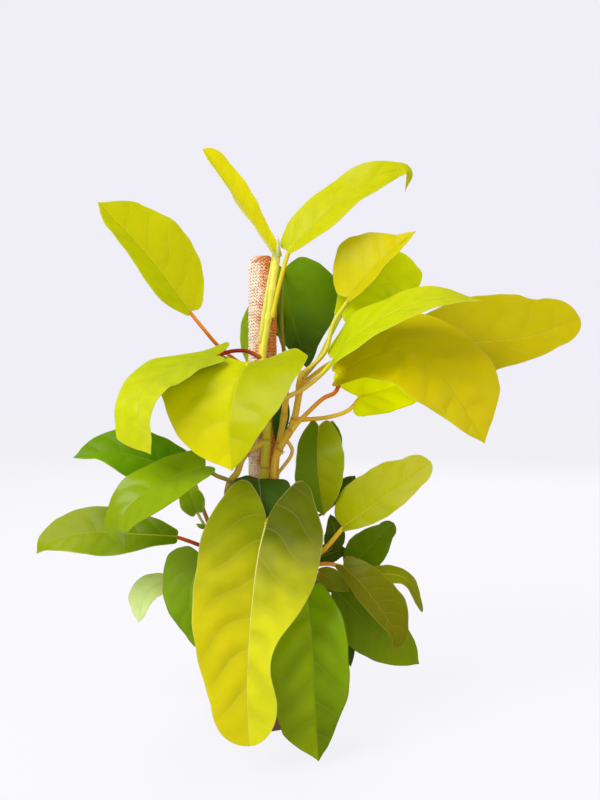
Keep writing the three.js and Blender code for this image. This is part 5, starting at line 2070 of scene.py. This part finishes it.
@dataclass
class CoirPole:
    """The coir sleeve round the stake: knitted stitches, stray fibres and a gathered top."""

    radius: float = 12.5
    top: float = 409
    bottom: float = 40
    soil_top: float = 88
    inside: float = 6.4
    cap: float = 7
    core_inset: float = 0.9
    core_steps: int = 60
    core_rib: float = 0.2
    core_rib_turn: float = 2.4
    # how far the sleeve's ground is darkened by painted shade between the stitches
    core_depth: float = 0.75
    sleeve_sides: int = 40
    stitch_columns: int = 22
    stitch_pitch: float = 2.75
    stitch_inset: float = 0.45
    stitch_length: float = 2.15
    stitch_breadth: float = 0.78
    stitch_shift: float = 0.062
    stitch_tilt: float = 0.62
    stitch_row_turn: float = 0.035
    stitches_below_soil: float = 4
    stitches_below_top: float = 5.5
    fibre_density: float = 26000.0
    fibre_length: float = 2.9
    fibre_radius: float = 0.11
    fibre_lean: float = 0.9
    whorl_strands: int = 26
    whorl_stations: int = 14
    whorl_sweep: tuple[float, float] = (2.0, 3.4)
    whorl_drop: float = 7.6
    whorl_girth: float = 1.15

    def build(self, sweeper: Sweeper) -> None:
        """Makes the sleeve in place of its CAD node and dresses the stake.

        Args:
            sweeper: What sweeps the gathered strands.
        """
        coir = CoirFinish().material("finish_coir")
        sleeve = self._sleeve(coir)
        settle(sleeve, Slot.COIR, "pole_coir_wrap")
        settle(self._stitches(coir), Slot.COIR)
        settle(self._fibres(sleeve, coir), Slot.COIR)
        settle(self._whorl(sweeper, coir), Slot.COIR)

    def _sleeve(self, coir: bpy.types.Material) -> bpy.types.Object:
        """Makes the ground of the sleeve, a little inside its stitches.

        Args:
            coir: Its finish.

        Returns:
            The sleeve.
        """
        core = self.radius - self.core_inset
        profile = [(self.inside, self.bottom), (core, self.bottom)]
        for k in range(1, self.core_steps + 1):
            height = self.bottom + (self.top - self.cap - self.bottom) * k / self.core_steps
            profile.append((core + self.core_rib * math.sin(self.core_rib_turn * k), height))
        profile += [(core * 0.86, self.top - 2.6), (core * 0.5, self.top - 0.6), (0, self.top - 1.8)]
        profile += [(0, self.top - self.cap), (self.inside, self.top - self.cap), (self.inside, self.bottom)]
        mesh = lathe("coir_sleeve", profile, self.sleeve_sides)
        # painted shade: the ground between the stitches is darkened
        store(mesh, "depth", "FLOAT", np.full(len(mesh.vertices), self.core_depth))
        mesh.materials.append(coir)
        return mesh_piece("coir_sleeve", mesh)

    def _stitches(self, coir: bpy.types.Material) -> bpy.types.Object:
        """Knits the stitches: rows of slanted strand pairs all round the sleeve.

        Args:
            coir: Their finish.

        Returns:
            The stitches.
        """
        build = NodeBuild(
            "coir_stitches",
            {"Columns": "Int", "Rows": "Int", "Radius": "Float", "Bottom": "Float", "Pitch": "Float",
             "Length": "Float", "Breadth": "Float"},
        )
        graph, given = build.graph, build.given
        cloud = build.node("GeometryNodePoints", Count=graph.times(given["Columns"], given["Rows"]))
        index = build.node("GeometryNodeInputIndex").outputs[0]
        row = graph.math("FLOOR", graph.math("DIVIDE", graph.plus(index, 0.5), given["Columns"]))
        column = graph.minus(index, graph.times(row, given["Columns"]))
        turn = graph.math("DIVIDE", graph.times(column, 2 * math.pi), given["Columns"])
        turn = graph.plus(turn, graph.times(row, self.stitch_row_turn))
        slope = graph.math("DIVIDE", column, given["Columns"])
        level = graph.plus(given["Bottom"], graph.times(graph.plus(row, slope), given["Pitch"]))
        joined = build.node("GeometryNodeJoinGeometry")
        halves = [
            self._half_stitches(build, cloud.outputs[0], turn, level, number, lean)
            for number, lean in enumerate((-1, 1))
        ]
        for half in halves:
            build.tree.links.new(half, joined.inputs[0])
        build.close(joined.outputs[0])
        span = self.top - self.stitches_below_top - self.soil_top + self.stitches_below_soil
        piece = mesh_piece("coir_stitches", bpy.data.meshes.new("coir_stitches"))
        build.run(
            piece, Material=coir, Columns=self.stitch_columns, Rows=int(span / self.stitch_pitch),
            Radius=(self.radius - self.stitch_inset) * MM,
            Bottom=(self.soil_top - self.stitches_below_soil) * MM, Pitch=self.stitch_pitch * MM,
            Length=self.stitch_length * MM, Breadth=self.stitch_breadth * MM,
        )
        return piece

    def _half_stitches(
        self, build: NodeBuild, cloud: Socket, turn: Socket, level: Socket, number: int, lean: int
    ) -> Socket:
        """Adds one strand of every pair.

        Args:
            build: The tree to add to.
            cloud: A point for each stitch.
            turn: Each stitch's angle round the pole.
            level: Its height.
            number: Number of the strand in its pair, for its fixed seeds.
            lean: Side of the pair, -1 or 1.

        Returns:
            The strands.
        """
        graph, given = build.graph, build.given
        angle = graph.plus(graph.plus(turn, lean * self.stitch_shift), build.chance(-0.02, 0.02, 5 + number))
        radius = graph.plus(given["Radius"], build.chance(-0.00022, 0.00022, 7 + number))
        spot = build.vector(
            graph.times(radius, graph.math("COSINE", angle)),
            graph.times(radius, graph.math("SINE", angle)),
            graph.plus(level, build.chance(-0.0003, 0.0003, 9 + number)),
        )
        placed = build.node("GeometryNodeSetPosition", Geometry=cloud, Position=spot)
        tilt = graph.plus(-lean * self.stitch_tilt, build.chance(-0.22, 0.22, 11 + number))
        size = build.vector(
            graph.times(given["Breadth"], build.chance(0.8, 1.1, 13 + number)),
            graph.times(given["Breadth"], build.chance(0.75, 1.15, 15 + number)),
            graph.times(given["Length"], build.chance(0.85, 1.2, 17 + number)),
        )
        strands = build.grains(placed.outputs[0], build.turned(build.vector(tilt, 0.0, angle)), size)
        return build.marked(strands, "depth", build.chance(-0.2, 0.35, 19 + number))

    def _fibres(self, sleeve: bpy.types.Object, coir: bpy.types.Material) -> bpy.types.Object:
        """Sets stray fibres on the sleeve.

        Args:
            sleeve: The sleeve that they stand on.
            coir: Their finish.

        Returns:
            The fibres.
        """
        build = NodeBuild("coir_fibres", {"Length": "Float", **NodeBuild.SCATTER})
        graph = build.graph
        spread = build.scatter()
        lean = build.vector(*(build.chance(-self.fibre_lean, self.fibre_lean, 31 + k) for k in range(3)))
        turned = build.node(
            "FunctionNodeRotateRotation", {"rotation_space": "LOCAL"}, Rotation=spread.outputs["Rotation"],
        )
        graph.feed(graph.socket(turned, "Rotate By"), build.turned(lean))
        length = graph.times(build.given["Length"], build.chance(0.5, 1.0, 37))
        size = build.vector(self.fibre_radius * MM, self.fibre_radius * MM, length)
        build.close(build.grains(spread.outputs["Points"], turned.outputs[0], size))
        piece = mesh_piece("coir_fibres", sleeve.data.copy())
        build.run(
            piece, Material=coir, Density=self.fibre_density, Length=self.fibre_length * MM,
            Above=(self.soil_top + 2) * MM, Seed=4,
        )
        return piece

    def _whorl(self, sweeper: Sweeper, coir: bpy.types.Material) -> bpy.types.Object:
        """Gathers strands in a swirl over the top.

        Args:
            sweeper: What sweeps them.
            coir: Their finish.

        Returns:
            The swirl.
        """
        draw = random.Random(21)
        strands = []
        for number in range(self.whorl_strands):
            start = 2 * math.pi * number / self.whorl_strands + draw.uniform(-0.1, 0.1)
            sweep = draw.uniform(*self.whorl_sweep)
            u = np.linspace(0, 1, self.whorl_stations)
            turn = start + sweep * u**1.2
            radius = (self.radius - 0.5) * (1 - 0.92 * u**1.25)
            rise = 7.4 * np.sin(np.minimum(u * 1.5, 1) * math.pi / 2) - 1.8 * u**2 + draw.uniform(-0.9, 0.5)
            height = self.top - self.whorl_drop + rise
            points = np.stack([radius * np.cos(turn), radius * np.sin(turn), height], axis=1)
            girth = self.whorl_girth * (1 - 0.5 * u) * draw.uniform(0.75, 1.15)
            shade = np.full((self.whorl_stations, 3), draw.uniform(0.2, 1.6))
            strands.append(Strand(points, girth, shade))
        piece = sweeper.sweep("coir_whorl", strands, 6, coir)
        shades = np.zeros(4 * len(piece.data.vertices))
        piece.data.attributes["tint"].data.foreach_get("color", shades)
        store(piece.data, "depth", "FLOAT", shades[::4])
        return piece


@dataclass
class PoleStake:
    """The wooden stake inside the sleeve, which keeps the form of its CAD node."""

    node: str = "pole_stake"

    def build(self, frame: dict[str, Any]) -> None:
        """Gives the CAD node its finish.
        """
        stake = frame["nodes"][self.node]
        stake.data.materials.clear()
        stake.data.materials.append(WoodFinish().material("finish_wood"))
        LOG.info("%s: CAD node with its own wood finish", self.node)


@dataclass
class NurseryPot:
    """The plain nursery pot with a rim band and drain holes."""

    height: float = 102
    rim: float = 56
    base: float = 42
    wall: float = 1.6
    band: float = 13
    step: float = 2
    holes: int = 6
    hole_radius: float = 4
    hole_ring: float = 28
    hole_sides: int = 28
    drill_length: float = 8
    corner_steps: int = 5
    sharp_degrees: float = 38
    sides: int = 112

    def inside(self, z: float) -> float:
        """Gives the inside radius at a height below the rim band."""
        slope = (self.rim - self.step - self.base) / (self.height - self.band)
        return self.base + slope * z - self.wall

    def _rounded(self, profile: list[tuple[float, float, float]]) -> list[tuple[float, float]]:
        """Rounds the corners of a profile.

        Args:
            profile: Radius, height and corner radius of each point.

        Returns:
            Radius and height of each point of the rounded profile.
        """
        made: list[tuple[float, float]] = []
        for k, (r, z, corner) in enumerate(profile):
            if corner == 0:
                made.append((r, z))
                continue
            here = np.array([r, z])
            before = unit(np.array(profile[k - 1][:2]) - here)
            after = unit(np.array(profile[k + 1][:2]) - here)
            for t in np.linspace(0, 1, self.corner_steps):
                point = here + corner * (before * (1 - t) ** 2 + after * t**2)
                made.append((float(point[0]), float(point[1])))
        return made

    def build(self) -> None:
        """Makes the pot in place of its CAD node."""
        shoulder = self.height - self.band
        profile = self._rounded([
            (0, 0.6, 0), (self.base - 6, 0.6, 0.4), (self.base - 4.6, 0, 0.5), (self.base, 0, 1.6),
            (self.rim - self.step, shoulder, 0.5), (self.rim, shoulder, 0.7), (self.rim, self.height, 0.75),
            (self.rim - self.wall, self.height, 0.7), (self.inside(shoulder), shoulder, 1.0),
            (self.inside(self.wall), self.wall, 1.4), (0, self.wall, 0),
        ])
        pot = mesh_piece("nursery_pot", lathe("nursery_pot", profile, self.sides))
        drill = self._drill()
        cut = pot.modifiers.new("holes", "BOOLEAN")
        cut.operation, cut.solver, cut.object = "DIFFERENCE", "EXACT", drill
        plain(pot)
        bpy.data.objects.remove(drill)
        pot.data.materials.clear()
        pot.data.materials.append(PotFinish().material("finish_pot"))
        pot.data.set_sharp_from_angle(angle=math.radians(self.sharp_degrees))
        settle(pot, Slot.POT, "pot")

    def _drill(self) -> bpy.types.Object:
        """Makes the plugs that cut the drain holes.

        Returns:
            One object with all of them.
        """
        cutter = bmesh.new()
        for k in range(self.holes):
            turn = 2 * math.pi * k / self.holes
            made = bmesh.ops.create_cone(
                cutter, cap_ends=True, segments=self.hole_sides, radius1=self.hole_radius * MM,
                radius2=self.hole_radius * MM, depth=self.drill_length * MM,
            )
            place = (self.hole_ring * MM * math.cos(turn), self.hole_ring * MM * math.sin(turn), 0)
            bmesh.ops.translate(cutter, vec=place, verts=made["verts"])
        mesh = bpy.data.meshes.new("drill")
        cutter.to_mesh(mesh)
        cutter.free()
        return mesh_piece("drill", mesh)


@dataclass
class PottingSoil:
    """The potting mix, with crumbs, bark and perlite on its top."""

    top: float = 88
    relief: float = 1.6
    bottom: float = 2.0
    gap: float = 0.4
    rings: int = 34
    sides: int = 96
    level_edge: float = 4
    crumb_density: float = 230000.0
    crumb_size: float = 2.1
    crumb_shape: tuple[float, float, float] = (1.0, 0.8, 0.55)

    def height(self, x: float, y: float) -> float:
        """Gives the unevenness of the top, as the CAD model has it, with finer lumps.

        Args:
            x: Place to the right.
            y: Place to the rear.

        Returns:
            How far the soil rises there.
        """
        heaps = self.relief * math.sin(x * 0.23 + 1) * math.cos(y * 0.19)
        lumps = 0.5 * math.sin(x * 0.51 - y * 0.43) + 0.35 * math.sin(1.7 * x + y) * math.sin(1.3 * y - x)
        return heaps + lumps

    def build(self, pot: NurseryPot) -> None:
        """Makes the soil in place of its CAD node.

        Args:
            pot: The pot that holds it.
        """
        edge = pot.inside(self.top) - self.gap
        floor = pot.inside(self.bottom) - self.gap
        profile = [(0, self.bottom), (floor, self.bottom), (edge, self.top - 0.5)]
        profile += [(edge * (1 - k / self.rings) * 0.995, self.top) for k in range(self.rings)]
        profile += [(0, self.top)]
        mesh = lathe("soil_bed", profile, self.sides)
        for vertex in mesh.vertices:
            x, y, z = (c / MM for c in vertex.co)
            fade = min(1.0, max(0.0, (edge - math.hypot(x, y)) / self.level_edge))
            if z > self.top - 0.1:
                vertex.co.z += self.height(x, y) * fade * MM
        soil = SoilFinish().material("finish_soil")
        mesh.materials.append(soil)
        bed = mesh_piece("soil_bed", mesh)
        settle(bed, Slot.SOIL, "soil")
        settle(self._crumbs(bed, soil), Slot.SOIL)

    def _crumbs(self, bed: bpy.types.Object, soil: bpy.types.Material) -> bpy.types.Object:
        """Scatters crumbs of peat, bark and perlite on the bed.

        Args:
            bed: The bed that they lie on.
            soil: Their finish.

        Returns:
            The crumbs.
        """
        build = NodeBuild("soil_crumbs", {"Size": "Float", **NodeBuild.SCATTER})
        graph, given = build.graph, build.given
        spread = build.scatter()
        spin = build.vector(*(build.chance(0.0, 6.28, 41 + k) for k in range(3)))
        shares = [build.chance(0.25, 1.0, 45 + k) for k in range(3)]
        shares = [graph.times(share, flat) for share, flat in zip(shares, self.crumb_shape)]
        size = build.vector(*(graph.times(share, given["Size"]) for share in shares))
        crumbs = build.grains(spread.outputs["Points"], build.turned(spin), size)
        build.close(build.marked(crumbs, "kind", build.chance(0.0, 1.0, 51)))
        piece = mesh_piece("soil_crumbs", bed.data.copy())
        build.run(
            piece, Material=soil, Density=self.crumb_density, Size=self.crumb_size * MM,
            Above=(self.top - 4) * MM, Seed=9,
        )
        return piece


@dataclass(frozen=True)
class Softbox:
    """A square soft light. Its places and size are in metres, its power in watts."""

    name: str
    place: Point
    aim: Point
    size: float
    power: float
    tint: str
    mirrored: bool = True

    def build(self) -> None:
        """Hangs the light and points it."""
        data = bpy.data.lights.new(self.name, "AREA")
        data.shape, data.size, data.energy = "SQUARE", self.size, self.power
        data.color = paint(self.tint)[:3]
        lamp = bpy.data.objects.new(self.name, data)
        lamp.location = self.place
        lamp.visible_glossy = self.mirrored
        aimed = np.array(self.aim) - np.array(self.place)
        level = math.hypot(aimed[0], aimed[1])
        lamp.rotation_euler = (math.atan2(level, -aimed[2]), 0, math.atan2(-aimed[0], aimed[1]))
        bpy.context.scene.collection.objects.link(lamp)


@dataclass
class Studio:
    """The pale floor, the soft light and the camera at the photograph's place."""

    backdrop: str = "f0eef6"
    ambient: float = 0.5
    reflected: float = 0.08
    lens: float = 32.5
    sensor: float = 36.0
    camera_place: Point = (33.75, -650.0, 280.0)
    floor_radius: float = 14.0
    floor_sides: int = 96
    clip: tuple[float, float] = (0.01, 60.0)
    lights: tuple[Softbox, ...] = (
        Softbox("key_softbox", (-1.25, -1.35, 1.75), (0.03, -0.03, 0.28), 1.5, 57.0, "fffdf4"),
        Softbox("front_softbox", (0.15, -2.3, 0.55), (0.03, 0.0, 0.25), 1.4, 9.0, "fffcf6", mirrored=False),
        Softbox("side_softbox", (1.7, -0.9, 0.9), (0.03, -0.03, 0.25), 1.0, 5.0, "fffaf8"),
        Softbox("rear_softbox", (0.6, 1.7, 1.6), (0.03, 0.0, 0.3), 1.6, 26.0, "fdfcff", mirrored=False),
    )

    def build(self) -> None:
        """Sets the world, floor, lights, camera and view."""
        self._world()
        self._floor()
        for light in self.lights:
            light.build()
        self._camera()
        view = bpy.context.scene.view_settings
        view.view_transform = "Standard"
        view.look = "None"

    def _camera(self) -> None:
        """Stands the camera level, looking along +Y."""
        data = bpy.data.cameras.new("camera")
        data.lens, data.sensor_width, data.sensor_fit = self.lens, self.sensor, "AUTO"
        data.clip_start, data.clip_end = self.clip
        camera = bpy.data.objects.new("camera", data)
        camera.location = [c * MM for c in self.camera_place]
        camera.rotation_euler = (math.radians(90), 0, 0)
        bpy.context.scene.collection.objects.link(camera)
        bpy.context.scene.camera = camera

    def _world(self) -> None:
        """A pale, even surround that lights less than it shows."""
        world = bpy.data.worlds.new("surround")
        world.use_nodes = True
        graph = Graph(world.node_tree)
        ground = world.node_tree.nodes["Background"]
        ground.inputs["Color"].default_value = paint(self.backdrop)
        ray = graph.add("ShaderNodeLightPath").outputs
        seen = graph.times(ray["Is Camera Ray"], 1.0 - self.ambient)
        mirrored = graph.times(ray["Is Glossy Ray"], self.ambient - self.reflected)
        strength = graph.minus(graph.plus(seen, self.ambient), mirrored)
        graph.feed(ground.inputs["Strength"], strength)
        bpy.context.scene.world = world

    def _floor(self) -> None:
        """A wide round floor."""
        shape = bmesh.new()
        bmesh.ops.create_circle(shape, cap_ends=True, segments=self.floor_sides, radius=self.floor_radius)
        mesh = bpy.data.meshes.new("floor")
        shape.to_mesh(mesh)
        shape.free()
        mesh.materials.append(FloorFinish().material("finish_floor"))
        floor = mesh_piece("floor", mesh, smooth=False)


def main() -> None:
    """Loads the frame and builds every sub-assembly in order."""
    logging.basicConfig(level=logging.INFO, format="%(name)s: %(message)s")
    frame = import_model()
    Studio().build()
    pot = NurseryPot()
    pot.build()
    PottingSoil().build(pot)
    sweeper = Sweeper()
    CoirPole().build(sweeper)
    PoleStake().build(frame)
    Stems(VINES).build(sweeper)
    Foliage(LEAVES).build()


if __name__ == "__main__":
    main()
